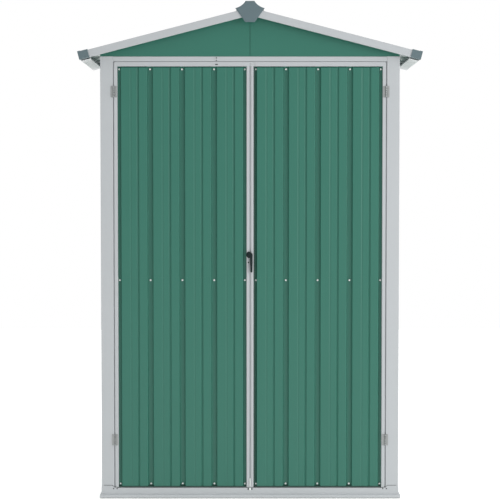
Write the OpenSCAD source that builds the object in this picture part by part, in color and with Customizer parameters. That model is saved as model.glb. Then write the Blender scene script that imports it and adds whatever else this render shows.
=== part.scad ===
// Narrow steel garden shed with a gable roof and a pair of corrugated doors.
// Frame: X to the right, Y towards the back, Z up, origin on the ground under the middle.

/* [Body] */
// Width over the corner posts
body_w = 1050; // [900:10:1500]
// Depth over the corner posts
body_d = 390; // [340:10:900]
// Height from the ground to the top of the header
wall_h = 1558; // [1300:1:2000]
// Width of a corner post seen from the front or back
post_face = 45; // [38:1:60]
// Width of a corner post seen from the side
post_side = 27; // [24:1:50]

/* [Sheet steel] */
// Thickness of the corrugated sheets
sheet_t = 0.6; // [0.4:0.1:1]
// Thickness of the folded frame and trim strips
trim_t = 1; // [0.8:0.1:1.5]
// Wished distance between two valleys of the corrugation
rib_pitch = 113; // [90:1:130]
// Depth of the valleys
rib_depth = 9; // [5:0.1:11]
// Half width of the flat floor of a valley
valley_floor = 7.8; // [4:0.1:8]
// Half width of a valley at its mouth
valley_mouth = 10.5; // [9:0.1:14]
// Depth of the narrow stiffening groove between two valleys
groove_depth = 4.5; // [1:0.1:6]
// Half width of the stiffening groove
groove_half = 4.5; // [3:0.5:7]
// Place of the stiffening groove, as a share of the way from valley to valley
groove_share = 0.62; // [0.58:0.01:0.68]
// Depth of the faint crease between two valleys
crease_depth = 1; // [0.3:0.1:3]
// Half width of the faint crease
crease_half = 4; // [3:0.5:6]
// Place of the faint crease, as a share of the way from valley to valley
crease_share = 0.39; // [0.32:0.01:0.42]
// How far the sheets lie behind the faces of their frames
sheet_recess = 2.5; // [1:0.1:4]
// Width of the ledges that carry the edges of the sheets
ledge_w = 19; // [14:1:26]

/* [Base] */
// Height of the base rails
base_h = 38; // [30:1:50]
// Height of the flared foot of the base rails
foot_h = 14; // [10:1:18]
// How far the foot stands out from the base plate
foot_out = 6; // [4:1:10]
// Width of the flange that lies on the ground
ground_flange = 42; // [36:1:60]
// Width of the lip along the top of the front rail
sill_w = 6; // [4:1:14]
// How far the front plate rises further at the posts
corner_rise = 7; // [3:1:10]

/* [Roof] */
// Slope of the roof in degrees
roof_pitch = 14.5; // [10:0.5:20]
// How far the roof sheets reach past the posts at the sides
eave_over = 55; // [45:1:100]
// How far the verge trims reach past the posts at the front and back
verge_over = 30; // [29:1:60]
// Height of the gable at the outer faces of the posts
gable_end = 20.4; // [20:0.2:40]
// How far the gables lie behind the face of the header
gable_recess = 2; // [1:0.5:4]
// Width of the gables' flanges under the roof sheets
gable_flange = 30; // [22:1:40]
// Width of the seam between the two halves of a gable
gable_seam = 1.5; // [1:0.5:4]
// How far the edges of the gables are folded back at the seam
seam_fold = 8; // [4:1:14]
// Half width of the strip that closes this seam from behind
gable_lap = 10; // [6:1:20]
// Depth of the verge trims, square to the slope
verge_h = 28; // [24:1:36]
// Width of the flanges of the verge trims
verge_flange = 26; // [20:1:30]
// Depth of the eave trims, square to the slope
eave_h = 30; // [26:1:38]
// Width of the top flange of the eave trims
eave_top = 28; // [24:1:32]
// Width of the bottom flange of the eave trims
eave_flange = 34; // [28:1:40]
// Height of the turned-up lip inside the verge and eave trims
trim_lip = 5; // [3:1:8]
// How far the eave trims reach past the roof sheets
eave_out = 19; // [12:1:24]
// Length of the corner caps along the slope
cap_len = 36; // [30:1:44]
// Height of the corner caps, square to the slope
cap_h = 28; // [24:1:34]
// Wall of the plastic corner caps
cap_wall = 2.5; // [1.5:0.1:3]
// How far the corner caps stand above the verge trims
cap_proud = 2; // [1:0.5:4]
// Length of the raised outer end of the corner caps
cap_step = 10; // [6:1:16]
// Rise of that outer end
cap_step_h = 1.2; // [0.6:0.1:2]

/* [Ridge] */
// Half gap between the two roof sheets under the ridge cap
ridge_gap = 0.9; // [0.5:0.1:3]
// Rise of the ridge plug above the apex of the roof
ridge_rise = 25; // [18:1:35]
// Half width of the flat top of the ridge plug
ridge_flat = 14.5; // [10:0.5:20]
// Half width of the ridge plug at its tips
ridge_half = 50.5; // [42:0.5:60]
// How far the tips lie below the flat top
ridge_tip_drop = 28; // [22:1:34]
// How hollow the sides above the tips are
ridge_hollow = 0.6; // [0:0.05:1]
// Height of the ridge plug
plug_h = 73; // [60:1:90]
// Half width of the bottom edge of the ridge plug
plug_foot = 16.75; // [10:0.25:24]
// Thickness of the front plate of the ridge plug
plug_t = 3; // [2:0.5:5]
// Rise of the middle of the front plate
plug_panel = 1; // [0.5:0.5:2]
// Width of the rim round the raised middle
plug_rim = 3; // [2:0.5:6]
// Wall of the skirt of the ridge plug
plug_wall = 1.5; // [1:0.1:2.5]
// How far the skirt of the ridge plug reaches over the ridge cap
plug_skirt = 14; // [8:1:22]

/* [Doors] */
// Gap between a door and its post
door_gap = 5.5; // [5:0.1:8]
// Gap over and under a door
end_gap = 5; // [5:0.1:8]
// Gap between the closing strip and the other door
parting_gap = 5.4; // [5:0.1:8]
// How far the doors' edges reach behind their ledges where they meet
stile_back = 1.4; // [0.5:0.1:8]
// Clearance between the doors and the stops behind them
stop_gap = 5; // [5:0.5:10]
// How far the stops reach behind the edges of the doors
stop_lap = 3; // [1:0.5:6]
// Distance from the edges of the doors' sheets to the middle of their outer valleys
edge_valley = 2; // [0:0.5:4]
// Visible width of the hinge stiles
stile_face = 9.5; // [8:0.5:16]
// Visible height of the top rails
rail_face = 12.5; // [8:0.5:20]
// Width of the closing strip on the left door
strip_w = 24.4; // [20:0.2:34]
// Right edge of the closing strip, measured from the middle
strip_edge = 12.3; // [4:0.1:18]
// Width of the groove in the closing strip
strip_groove = 7; // [4:0.5:8]
// Depth of the groove in the closing strip
strip_groove_depth = 5; // [1:0.5:5]
// Height of the middle rails above the ground
mid_rail_z = 773; // [600:1:900]
// Height of the rails behind the sheets
rail_h = 22; // [16:1:40]
// Depth of the rails behind the sheets
rail_d = 10; // [8:1:12]
// Visible height of the header and the other top rails
header_face = 17; // [14:0.5:30]

/* [Hinges] */
// Height of a hinge
hinge_h = 40; // [30:1:60]
// Middle of the upper hinges below the top of the doors
hinge_drop = 101; // [60:1:300]
// Middle of the lower hinges above the bottom of the doors
hinge_rise = 165; // [60:1:300]
// Width of a hinge leaf from the pin
leaf_w = 11; // [10:0.5:12]
// Thickness of a hinge leaf
leaf_t = 1.2; // [0.8:0.1:1.5]
// Radius of the hinge knuckles
knuckle_r = 3; // [2.5:0.1:3.2]
// Radius of the hinge pins
pin_r = 1.4; // [1:0.1:1.6]
// Number of knuckles of a hinge
knuckles = 5; // [3:2:7]

/* [Handle] */
// Height of the pivot of the handle above the ground
handle_z = 863; // [700:1:1000]
// Place of the pivot across, measured from the middle
handle_x = -4; // [-5:0.5:0]
// Radius of the rosette
rosette_r = 9; // [8:0.5:9]
// Thickness of the rosette
rosette_t = 4; // [3:0.5:6]
// How far the points of the rosette stand out
rosette_point = 0.6; // [0.2:0.1:1.5]
// Radius of the spindle
spindle_r = 3; // [2:0.5:4]
// Radius of the hub of the lever
hub_r = 7; // [6:0.5:8]
// Height of the arm between the hub and the lever
arm_h = 12; // [8:1:14]
// Length of the lever below the pivot
lever_len = 62; // [45:1:80]
// Distance of the lever to the side of the pivot
lever_offset = 9; // [7:0.5:10]
// Width of the lever at its top
lever_top_w = 9; // [8:0.5:11]
// Width of the lever at its end
lever_end_w = 6; // [4:0.5:8]
// Thickness of the lever
lever_t = 6; // [4:0.5:8]
// Distance of the lever from the rosette
lever_gap = 1.5; // [1:0.5:4]

/* [Hidden] */
$fn = 48;

GREEN = "#467a6c";
LIGHT_GREY = "#b9bec1";
SLATE = "#69787e";
ZINC = "#96989a";
BLACK = "#363f41";

// Half sizes and faces of the body
half_w = body_w / 2;
half_d = body_d / 2;
front_y = -half_d;
seat = sheet_recess + rib_depth + sheet_t;  // ledges lie this far behind a frame's face
door_t = seat + trim_t + stile_back;    // depth of the doors where they meet
door_in_x = half_w - post_face;         // inner edge of the front posts
door_out_x = door_in_x - door_gap;      // outer edge of the doors
stop_v = trim_t + stop_gap;             // stops lie this far behind the front
stop_w = door_gap + stop_lap;
stop_drop = end_gap + stop_lap;
rail_in = door_t + stop_gap;            // depth of the rails that carry the gables
door_low_z = base_h + end_gap;
header_low_z = wall_h - header_face;
door_top_z = header_low_z - end_gap;
sheet_top_z = door_top_z - rail_face;
sheet_low_z = trim_t;

// Roof planes: s runs down the slope, n stands square to it, zero on the trims' top
slope_c = cos(roof_pitch);
slope_t = tan(roof_pitch);
sheet_n = -trim_t;                      // top of the roof sheet's crests
under_n = sheet_n - rib_depth - sheet_t;
apex_z = wall_h + gable_end - under_n / slope_c + half_w * slope_t;
half_roof_d = half_d + verge_over;
sheet_start = ridge_gap - under_n * slope_t;
sheet_len = (half_w + eave_over) / slope_c;
eave_s = sheet_len + eave_out;
cap_s = eave_s + cap_wall - cap_len;
verge_in = half_roof_d - verge_flange;
gable_in = gable_recess + gable_flange;
hollow_steps = 8;
tip_share = 1.6;                        // the ridge's tips draw in by this share of a margin
foot_share = 0.6;                       // its foot corners draw in by this share
far = 3000;
cut = 1;                                // cuts run past a face by this
near = 0.01;                            // breakpoints this near to an edge are left out
roof_play = 0.05;                       // between the roof sheets and what carries them

// Sheets of the walls
side_sheet_w = body_d - 2 * post_side;
back_sheet_w = body_w - 2 * post_face;

// Hinges
hinge_play = 0.2;
axis_x = door_in_x - door_gap / 2;
axis_out = knuckle_r + hinge_play;      // pin in front of the posts' face
leaf_start = knuckle_r + 2 * hinge_play;
hinge_places = [door_low_z + hinge_rise, door_top_z - hinge_drop];
knuckle_h = hinge_h / knuckles;
knuckle_play = 0.3;                     // between two knuckles, and under the spindle
pin_play = 0.05;

// Doors
strip_left = strip_edge - strip_w;
left_sheet_w = strip_left + door_out_x - stile_face;
right_x = strip_edge + parting_gap;
sheet_end_x = door_out_x - stile_face;
valleys_w = left_sheet_w - 2 * edge_valley;  // between a door's outer valleys
door_pitch = valleys_w / round(valleys_w / rib_pitch);

// Corrugation

// Breakpoints of one pitch: distance from a valley's middle and depth behind the crest
function pitch_profile(p) = [
    [0, rib_depth], [valley_floor, rib_depth], [valley_mouth, 0],
    [crease_share * p - crease_half, 0], [crease_share * p, crease_depth],
    [crease_share * p + crease_half, 0],
    [groove_share * p - groove_half, 0], [groove_share * p, groove_depth],
    [groove_share * p + groove_half, 0],
    [p - valley_mouth, 0], [p - valley_floor, rib_depth], [p, rib_depth]
];

// Depth of the sheet at a distance from a valley's middle
function rib_at(s, p) = lookup(s - p * floor(s / p), pitch_profile(p));

// Places of the breakpoints between two edges, for valleys counted from place zero
function rib_stops(from, to, p) = concat(
    [from],
    [for (k = [floor(from / p) : ceil(to / p)], q = pitch_profile(p))
        let (s = k * p + q[0])
        if (q[0] < p && s > from + near && s < to - near) s],
    [to]
);

// Section of a corrugated sheet: X across, Y from the crest's face to the back
module sheet_section(from, to, p) {
    stops = rib_stops(from, to, p);
    front = [for (s = stops) [s, rib_at(s, p)]];
    back = [for (i = [len(stops) - 1 : -1 : 0]) [stops[i], rib_at(stops[i], p) + sheet_t]];
    polygon(concat(front, back));
}

// Sheet with a whole number of pitches across its width, standing from z0 to z1
module wall_sheet(width, z0, z1) {
    p = width / round(width / rib_pitch);
    translate([0, sheet_recess, z0])
        linear_extrude(z1 - z0) sheet_section(0, width, p);
}

// Folded strips

// Edge strip of a sheet: face, step behind the sheet's edge and ledge under its valley
module edge_section(face, web) {
    square([trim_t, web]);
    square([face, trim_t]);
    translate([face - trim_t, 0]) square([trim_t, seat + trim_t]);
    translate([face - trim_t, seat]) square([ledge_w + trim_t, trim_t]);
}

// Moves a drawing of the front onto another side of the body
module on_left() { translate([-half_w, 0, 0]) rotate(-90) children(); }
module on_right() { translate([half_w, 0, 0]) rotate(90) children(); }
module on_front() { translate([0, -half_d, 0]) children(); }
module on_back() { translate([0, half_d, 0]) rotate(180) children(); }

// Base rails

// Section of a base rail: X is the way in from the posts' face, Y is up
module base_section() {
    foot_x = -trim_t - foot_out;
    translate([foot_x, 0]) square([ground_flange - foot_x, trim_t]);
    translate([-trim_t, foot_h - trim_t]) square([trim_t, base_h - foot_h + trim_t]);
    difference() {
        foot_lip(foot_out, foot_h);
        foot_lip(foot_out - trim_t, foot_h - trim_t);
    }
}

// Outline of the rounded foot: an upright edge that turns in to the plate on a quarter round
module foot_lip(out, high) {
    translate([-trim_t - out, 0]) {
        square([out, high - out]);
        intersection() {
            translate([out, high - out]) circle(out);
            square([out, high]);
        }
    }
}

// Base rail along X, mitred at both ends
module base_rail(length) {
    intersection() {
        rotate([90, 0, 90]) translate([0, 0, -far / 2]) linear_extrude(far) base_section();
        linear_extrude(2 * base_h) polygon([
            [-length / 2 - foot_out - 2 * trim_t, -foot_out - 2 * trim_t],
            [length / 2 + foot_out + 2 * trim_t, -foot_out - 2 * trim_t],
            [length / 2 - ground_flange - trim_t, ground_flange + trim_t],
            [-length / 2 + ground_flange + trim_t, ground_flange + trim_t]
        ]);
    }
}

// Tabs of the front rail that rise in front of the posts' feet
module corner_tab() {
    rotate([90, 0, 0]) linear_extrude(trim_t) polygon([
        [-half_w, base_h], [-half_w, base_h + corner_rise],
        [-door_in_x - corner_rise, base_h + corner_rise], [-door_in_x, base_h]
    ]);
}

module base_front_rail() {
    color(LIGHT_GREY) on_front() {
        base_rail(body_w);
        corner_tab();
        mirror([1, 0, 0]) corner_tab();
        // Lip under the doors, between the posts' stops
        translate([stop_w - door_in_x, -trim_t, base_h - trim_t])
            cube([2 * (door_in_x - stop_w), sill_w + trim_t, trim_t]);
    }
}
module base_back_rail() { color(LIGHT_GREY) on_back() base_rail(body_w); }
module base_left_rail() { color(LIGHT_GREY) on_left() base_rail(body_d); }
module base_right_rail() { color(LIGHT_GREY) on_right() base_rail(body_d); }

// Corner posts

// Front post on the left: stop for the door, front face, side face and ledge for the wall
module front_post_section() {
    square([post_face, trim_t]);
    translate([post_face - trim_t, 0]) square([trim_t, stop_v + trim_t]);
    translate([post_face - trim_t, stop_v]) square([stop_w + trim_t, trim_t]);
    wall_side_section();
}

// Side leg of a post with the ledge that carries the side wall
module wall_side_section() {
    square([trim_t, post_side]);
    translate([0, post_side - trim_t]) square([seat + trim_t, trim_t]);
    translate([seat, post_side - trim_t]) square([trim_t, ledge_w + trim_t]);
}

// Back post: like the front post, with a ledge for the back wall instead of the stop
module back_post_section() {
    edge_section(post_face, trim_t);
    wall_side_section();
}

module post(section_is_front) {
    translate([-half_w, -half_d, trim_t]) linear_extrude(wall_h - trim_t) {
        if (section_is_front) front_post_section();
        else back_post_section();
    }
}
module post_front_left() { color(LIGHT_GREY) post(true); }
module post_front_right() { color(LIGHT_GREY) mirror([1, 0, 0]) post(true); }
module post_back_left() { color(LIGHT_GREY) mirror([0, 1, 0]) post(false); }
module post_back_right() { color(LIGHT_GREY) rotate(180) post(false); }

// Header and top rails

// Header over the doors: a top plate, a face, and a return with a lip that stops them
module header_front() {
    leg_x = door_in_x - stop_w;
    top_z = header_face - trim_t;
    color(LIGHT_GREY) translate([0, front_y, header_low_z]) {
        translate([-door_in_x, 0, 0]) cube([2 * door_in_x, trim_t, header_face]);
        for (z = [0, top_z]) translate([-door_in_x, 0, z]) cube([2 * door_in_x, stop_v, trim_t]);
        translate([-leg_x, 0, top_z]) cube([2 * leg_x, rail_in, trim_t]);
        translate([-leg_x, 0, 0]) cube([2 * leg_x, stop_v + trim_t, trim_t]);
        translate([-leg_x, stop_v, -stop_drop]) cube([2 * leg_x, trim_t, stop_drop + trim_t]);
    }
}

// Rail over a sheet: a face with webs below and above, and a ledge behind the sheet
module edge_rail(face, top_web, from, to, ledge_from, ledge_to) {
    translate([from, 0, 0]) rotate([90, 0, 90]) linear_extrude(to - from) {
        square([trim_t, face]);
        square([seat, trim_t]);
        translate([0, face - trim_t]) square([top_web, trim_t]);
    }
    translate([ledge_from, seat, -ledge_w])
        cube([ledge_to - ledge_from, trim_t, ledge_w + trim_t]);
}

// Rail over a wall whose sheet reaches from post to post
module wall_top_rail(width) {
    end = width / 2;
    translate([0, 0, header_low_z])
        edge_rail(header_face, seat, -end, end, -end + ledge_w, end - ledge_w);
}

module top_rail_back() {
    flange_x = back_sheet_w / 2 - ledge_w;
    color(LIGHT_GREY) on_back() {
        wall_top_rail(back_sheet_w);
        translate([-flange_x, seat - trim_t, wall_h - trim_t])
            cube([2 * flange_x, rail_in - seat + trim_t, trim_t]);
    }
}

// Side rail: the lower part lies between the posts, the upper part closes the eave
module side_top_rail() {
    top_len = body_d - 2 * (gable_recess + sheet_t);
    flange_len = body_d - 2 * gable_in;
    wall_top_rail(side_sheet_w);
    translate([-top_len / 2, 0, wall_h]) cube([top_len, trim_t, gable_end - trim_t / 2]);
    translate([-flange_len / 2, 0, under_z(half_w)]) rotate([90, 0, 90])
        linear_extrude(flange_len) polygon([
            [0, -2 * trim_t], [0, 0], [ledge_w, ledge_w * slope_t],
            [ledge_w, ledge_w * slope_t - trim_t], [trim_t, -2 * trim_t]
        ]);
}
module top_rail_left() { color(LIGHT_GREY) on_left() side_top_rail(); }
module top_rail_right() { color(LIGHT_GREY) on_right() side_top_rail(); }

// Walls

module side_sheet() {
    translate([-side_sheet_w / 2, 0, 0]) wall_sheet(side_sheet_w, sheet_low_z, header_low_z);
}
module side_wall_left() { color(GREEN) on_left() side_sheet(); }
module side_wall_right() { color(GREEN) on_right() side_sheet(); }
module back_wall() {
    color(GREEN) on_back() translate([-back_sheet_w / 2, 0, 0])
        wall_sheet(back_sheet_w, sheet_low_z, header_low_z);
}

// Channel across the back of a sheet, open downwards
module cross_rail(width) {
    rotate([90, 0, 90]) linear_extrude(width) {
        square([trim_t, rail_h]);
        translate([0, rail_h - trim_t]) square([rail_d, trim_t]);
        translate([rail_d - trim_t, 0]) square([trim_t, rail_h]);
    }
}

// Middle rails of the two sides and the back, between the ledges of the posts
module wall_rail(width) {
    clear = width - 2 * ledge_w;
    translate([-clear / 2, seat, mid_rail_z - rail_h / 2]) cross_rail(clear);
}
module wall_mid_rails() {
    color(LIGHT_GREY) {
        on_left() wall_rail(side_sheet_w);
        on_right() wall_rail(side_sheet_w);
        on_back() wall_rail(back_sheet_w);
    }
}

// Gables

// Height of what carries the roof sheets at a distance from the middle
function under_z(x) = apex_z + under_n / slope_c - abs(x) * slope_t - roof_play;

// One half of a gable: flat sheet with a foot on the rail, a flange under the roof and its
// edge folded back at the seam
module gable_half() {
    end_x = half_w - trim_t;
    flange_t = trim_t / slope_c;
    from = gable_seam / 2;
    translate([0, gable_recess, 0]) {
        translate([0, sheet_t, 0]) rotate([90, 0, 0]) linear_extrude(sheet_t) polygon([
            [from, wall_h], [half_w, wall_h], [half_w, under_z(half_w)], [from, under_z(from)]
        ]);
        translate([from, 0, wall_h]) cube([end_x - from, rail_in - gable_recess, trim_t]);
        translate([from, 0, wall_h])
            cube([sheet_t, seam_fold, under_z(from + sheet_t) - wall_h]);
        translate([0, gable_flange, 0]) rotate([90, 0, 0]) linear_extrude(gable_flange) polygon([
            [from, under_z(from)], [end_x, under_z(end_x)],
            [end_x, under_z(end_x) - flange_t], [from, under_z(from) - flange_t]
        ]);
    }
}

// Strip behind the folded edges, which joins the two halves
module seam_strip() {
    edge_z = under_z(gable_lap) - trim_t / 2;
    translate([0, gable_recess + seam_fold + sheet_t, 0]) rotate([90, 0, 0])
        linear_extrude(sheet_t + sheet_t / 2) polygon([
            [-gable_lap, wall_h], [gable_lap, wall_h], [gable_lap, edge_z],
            [0, under_z(0) - trim_t / 2], [-gable_lap, edge_z]
        ]);
}
module gable() {
    gable_half();
    mirror([1, 0, 0]) gable_half();
    seam_strip();
}
module gable_front() { color(GREEN) on_front() gable(); }
module gable_back() { color(GREEN) on_back() gable(); }

// Roof

// Puts a drawing onto the right roof plane: X runs down the slope, Z stands square to it
module on_slope() { translate([0, 0, apex_z]) rotate([0, roof_pitch, 0]) children(); }
module right_of_ridge() {
    intersection() {
        children();
        translate([0, -far / 2, 0]) cube(far);
    }
}

// Corrugated roof sheet with valleys half a pitch from its edges
module roof_panel() {
    inside_d = 2 * (half_roof_d - trim_t);
    p = inside_d / round(inside_d / rib_pitch);
    on_slope() translate([sheet_start, 0, sheet_n]) rotate([90, 0, 90])
        linear_extrude(sheet_len - sheet_start) mirror([0, 1, 0])
            translate([-inside_d / 2 - p / 2, 0]) sheet_section(p / 2, inside_d + p / 2, p);
}
module roof_panel_left() { color(GREEN) mirror([1, 0, 0]) roof_panel(); }
module roof_panel_right() { color(GREEN) roof_panel(); }

// Channel section of a trim: X from its outer face inwards, Y down from its top
module channel_section(top_w, low_w, high) {
    square([trim_t, high]);
    square([top_w, trim_t]);
    translate([0, high - trim_t]) square([low_w, trim_t]);
    translate([low_w - trim_t, high - trim_lip]) square([trim_t, trim_lip]);
}

// Verge trim on the right of the front
module verge() {
    right_of_ridge() on_slope() translate([-verge_h, -half_roof_d, 0]) rotate([90, 0, 90])
        linear_extrude(cap_s + verge_h) mirror([0, 1, 0])
            channel_section(verge_flange, verge_flange, verge_h);
}
module verge_front_left() { color(LIGHT_GREY) mirror([1, 0, 0]) verge(); }
module verge_front_right() { color(LIGHT_GREY) verge(); }
module verge_back_left() { color(LIGHT_GREY) rotate(180) verge(); }
module verge_back_right() { color(LIGHT_GREY) mirror([0, 1, 0]) verge(); }

// Eave trim on the right, between the corner caps
module eave_trim() {
    on_slope() translate([eave_s, verge_in, 0]) rotate([90, 0, 0])
        linear_extrude(2 * verge_in) mirror([1, 0, 0]) mirror([0, 1, 0])
            channel_section(eave_top, eave_flange, eave_h);
}
module eave_trim_left() { color(LIGHT_GREY) mirror([1, 0, 0]) eave_trim(); }
module eave_trim_right() { color(LIGHT_GREY) eave_trim(); }

// Corner cap on the right of the front: a shell open to the verge and to the eave trim
module verge_cap() {
    depth = half_roof_d - verge_in + cap_wall;
    low_n = cap_proud - cap_h;
    on_slope() translate([cap_s, -half_roof_d - cap_wall, 0]) {
        difference() {
            translate([0, 0, low_n]) cube([cap_len, depth, cap_h]);
            translate([-cut, cap_wall, low_n + cap_wall])
                cube([cap_len - cap_wall + cut, depth, sheet_n - low_n - cap_wall]);
        }
        translate([cap_len - cap_step, 0, 0]) cube([cap_step, depth, cap_proud + cap_step_h]);
    }
}
module verge_caps() {
    color(SLATE) for (turn = [0, 180]) rotate(turn) {
        verge_cap();
        mirror([1, 0, 0]) verge_cap();
    }
}

// Ridge

// Points from the flat top down to the tip, between a straight line and a quarter ellipse
function hollow_side(flat, top, half, tip) = [
    for (i = [0 : hollow_steps])
        let (
            part = i / hollow_steps,
            a = 90 * part,
            hollow = [half - (half - flat) * cos(a), top - (top - tip) * sin(a)],
            straight = [flat + (half - flat) * part, top - (top - tip) * part]
        )
        ridge_hollow * hollow + (1 - ridge_hollow) * straight
];

// Outline of the ridge from the foot up over the flat top, drawn in by a margin
function ridge_outline(m) =
    let (
        tip_z = ridge_rise - ridge_tip_drop,
        foot_z = ridge_rise - plug_h + m,
        right = hollow_side(ridge_flat - m, ridge_rise - m, ridge_half - tip_share * m, tip_z),
        n = len(right)
    )
    concat(
        [[-plug_foot + foot_share * m, foot_z], [plug_foot - foot_share * m, foot_z]],
        [for (i = [n - 1 : -1 : 0]) right[i]],
        [for (i = [0 : n - 1]) [-right[i][0], right[i][1]]]
    );

// Everything above the top of the verge trims
module above_roof() {
    polygon([[0, 0], [far, -far * slope_t], [far, far], [-far, far], [-far, -far * slope_t]]);
}

module ridge_cap() {
    color(LIGHT_GREY) translate([0, half_roof_d, apex_z]) rotate([90, 0, 0])
        linear_extrude(2 * half_roof_d) intersection() {
            difference() {
                polygon(ridge_outline(plug_wall));
                polygon(ridge_outline(plug_wall + trim_t));
            }
            above_roof();
        }
}

// End plug of the ridge: a plate over the meeting verges with a raised middle and a skirt
module ridge_plug() {
    translate([0, -half_roof_d, apex_z]) rotate([90, 0, 0]) {
        linear_extrude(plug_t) polygon(ridge_outline(0));
        translate([0, 0, plug_t]) linear_extrude(plug_panel) polygon(ridge_outline(plug_rim));
        translate([0, 0, -plug_skirt]) linear_extrude(plug_skirt) intersection() {
            difference() {
                polygon(ridge_outline(0));
                polygon(ridge_outline(plug_wall));
            }
            above_roof();
        }
    }
}
module ridge_plug_front() { color(SLATE) ridge_plug(); }
module ridge_plug_back() { color(SLATE) rotate(180) ridge_plug(); }

// Hinges

// One leaf with every second knuckle, the pin at the origin and the leaf towards +X
module hinge_leaf(first) {
    translate([leaf_start, axis_out - leaf_t, -hinge_h / 2])
        cube([leaf_w - leaf_start, leaf_t, hinge_h]);
    for (k = [first : 2 : knuckles - 1]) {
        low = k == 0 ? 0 : knuckle_play / 2;
        high = knuckle_h - (k == knuckles - 1 ? 0 : knuckle_play / 2);
        translate([0, 0, -hinge_h / 2 + k * knuckle_h + low]) {
            translate([0, axis_out - leaf_t, 0]) cube([leaf_w, leaf_t, high - low]);
            cylinder(r = knuckle_r, h = high - low);
        }
    }
}

// Leaves on the post, which hold the pin
module post_leaf() {
    mirror([1, 0, 0]) hinge_leaf(0);
    translate([0, 0, -hinge_h / 2]) cylinder(r = pin_r, h = hinge_h);
}

// Leaves on the door, bored for the pin
module door_leaf() {
    difference() {
        hinge_leaf(1);
        translate([0, 0, -hinge_h]) cylinder(r = pin_r + pin_play, h = 2 * hinge_h);
    }
}

module at_hinges() {
    for (z = hinge_places) translate([-axis_x, front_y - axis_out, z]) children();
}
module left_hinge_post_leaves() { color(ZINC) at_hinges() post_leaf(); }
module right_hinge_post_leaves() { color(ZINC) mirror([1, 0, 0]) at_hinges() post_leaf(); }
module left_door_hinge_leaves() { color(ZINC) at_hinges() door_leaf(); }
module right_door_hinge_leaves() { color(ZINC) mirror([1, 0, 0]) at_hinges() door_leaf(); }

// Doors

module door_sheet(from, to, p) {
    translate([0, front_y + sheet_recess, door_low_z])
        linear_extrude(sheet_top_z - door_low_z) sheet_section(from, to, p);
}
module left_door_panel() {
    color(GREEN) translate([edge_valley - sheet_end_x, 0, 0])
        door_sheet(-edge_valley, left_sheet_w - edge_valley, door_pitch);
}
module right_door_panel() {
    color(GREEN) translate([sheet_end_x - edge_valley, 0, 0])
        door_sheet(right_x - sheet_end_x + edge_valley, edge_valley, door_pitch);
}

// Upright strip of a door: its folds end under the top rail, its face reaches the top
module stile(face) {
    translate([0, front_y, door_low_z]) {
        linear_extrude(sheet_top_z - door_low_z) children();
        translate([0, 0, sheet_top_z - door_low_z]) cube([face, trim_t, rail_face]);
    }
}
module hinge_stile() {
    translate([-door_out_x, 0, 0]) stile(stile_face) edge_section(stile_face, trim_t);
}
module left_door_hinge_stile() { color(LIGHT_GREY) hinge_stile(); }
module right_door_hinge_stile() { color(LIGHT_GREY) mirror([1, 0, 0]) hinge_stile(); }

// Closing strip: an edge strip with a shallow groove down the middle of its face
module left_door_closing_strip() {
    groove_x = strip_w / 2 - strip_groove / 2;
    color(LIGHT_GREY) translate([strip_edge, 0, 0]) mirror([1, 0, 0]) stile(strip_w) difference() {
        union() {
            edge_section(strip_w, door_t);
            translate([groove_x - trim_t, 0])
                square([strip_groove + 2 * trim_t, strip_groove_depth + trim_t]);
        }
        translate([groove_x, -cut]) square([strip_groove, strip_groove_depth + cut]);
    }
}

// Meeting stile of the right door: an angle behind the edge of the sheet
module right_door_meeting_stile() {
    color(LIGHT_GREY) translate([right_x, front_y + seat, door_low_z])
        linear_extrude(sheet_top_z - door_low_z) {
            square([ledge_w, trim_t]);
            square([trim_t, door_t - seat]);
        }
}

// Rails of a door: a folded rail over the sheet and two channels behind it
module door_rails(from, to) {
    translate([0, front_y, sheet_top_z])
        edge_rail(rail_face, trim_t, from, to, from + ledge_w, to - ledge_w);
    for (z = [door_low_z, mid_rail_z - rail_h / 2])
        translate([from + ledge_w, front_y + seat, z]) cross_rail(to - from - 2 * ledge_w);
}
module left_door_rails() { color(LIGHT_GREY) door_rails(-sheet_end_x, strip_left); }
module right_door_rails() { color(LIGHT_GREY) door_rails(right_x, sheet_end_x); }

// Handle

module handle_rosette() {
    point_side = (rosette_r + rosette_point) * sqrt(2);
    color(BLACK) translate([handle_x, front_y, handle_z]) rotate([90, 0, 0]) difference() {
        linear_extrude(rosette_t) {
            circle(rosette_r);
            rotate(45) square(point_side, center = true);
        }
        translate([0, 0, -cut]) cylinder(r = spindle_r + pin_play, h = rosette_t + 2 * cut);
    }
}

// Lever with its spindle: a round hub, a short arm to the side and a tapered grip
module handle_lever() {
    lever_y = rosette_t + lever_gap;
    end_r = lever_end_w / 2;
    color(BLACK) translate([handle_x, front_y, handle_z]) rotate([90, 0, 0]) {
        translate([0, 0, knuckle_play]) cylinder(r = spindle_r, h = lever_y);
        translate([0, 0, lever_y]) linear_extrude(lever_t) {
            circle(hub_r);
            translate([0, -arm_h / 2]) square([lever_offset + lever_top_w / 2, arm_h]);
            translate([lever_offset, -lever_len + end_r]) circle(end_r);
            polygon([
                [lever_offset - lever_top_w / 2, 0], [lever_offset + lever_top_w / 2, 0],
                [lever_offset + end_r, -lever_len + end_r],
                [lever_offset - end_r, -lever_len + end_r]
            ]);
        }
    }
}

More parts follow.
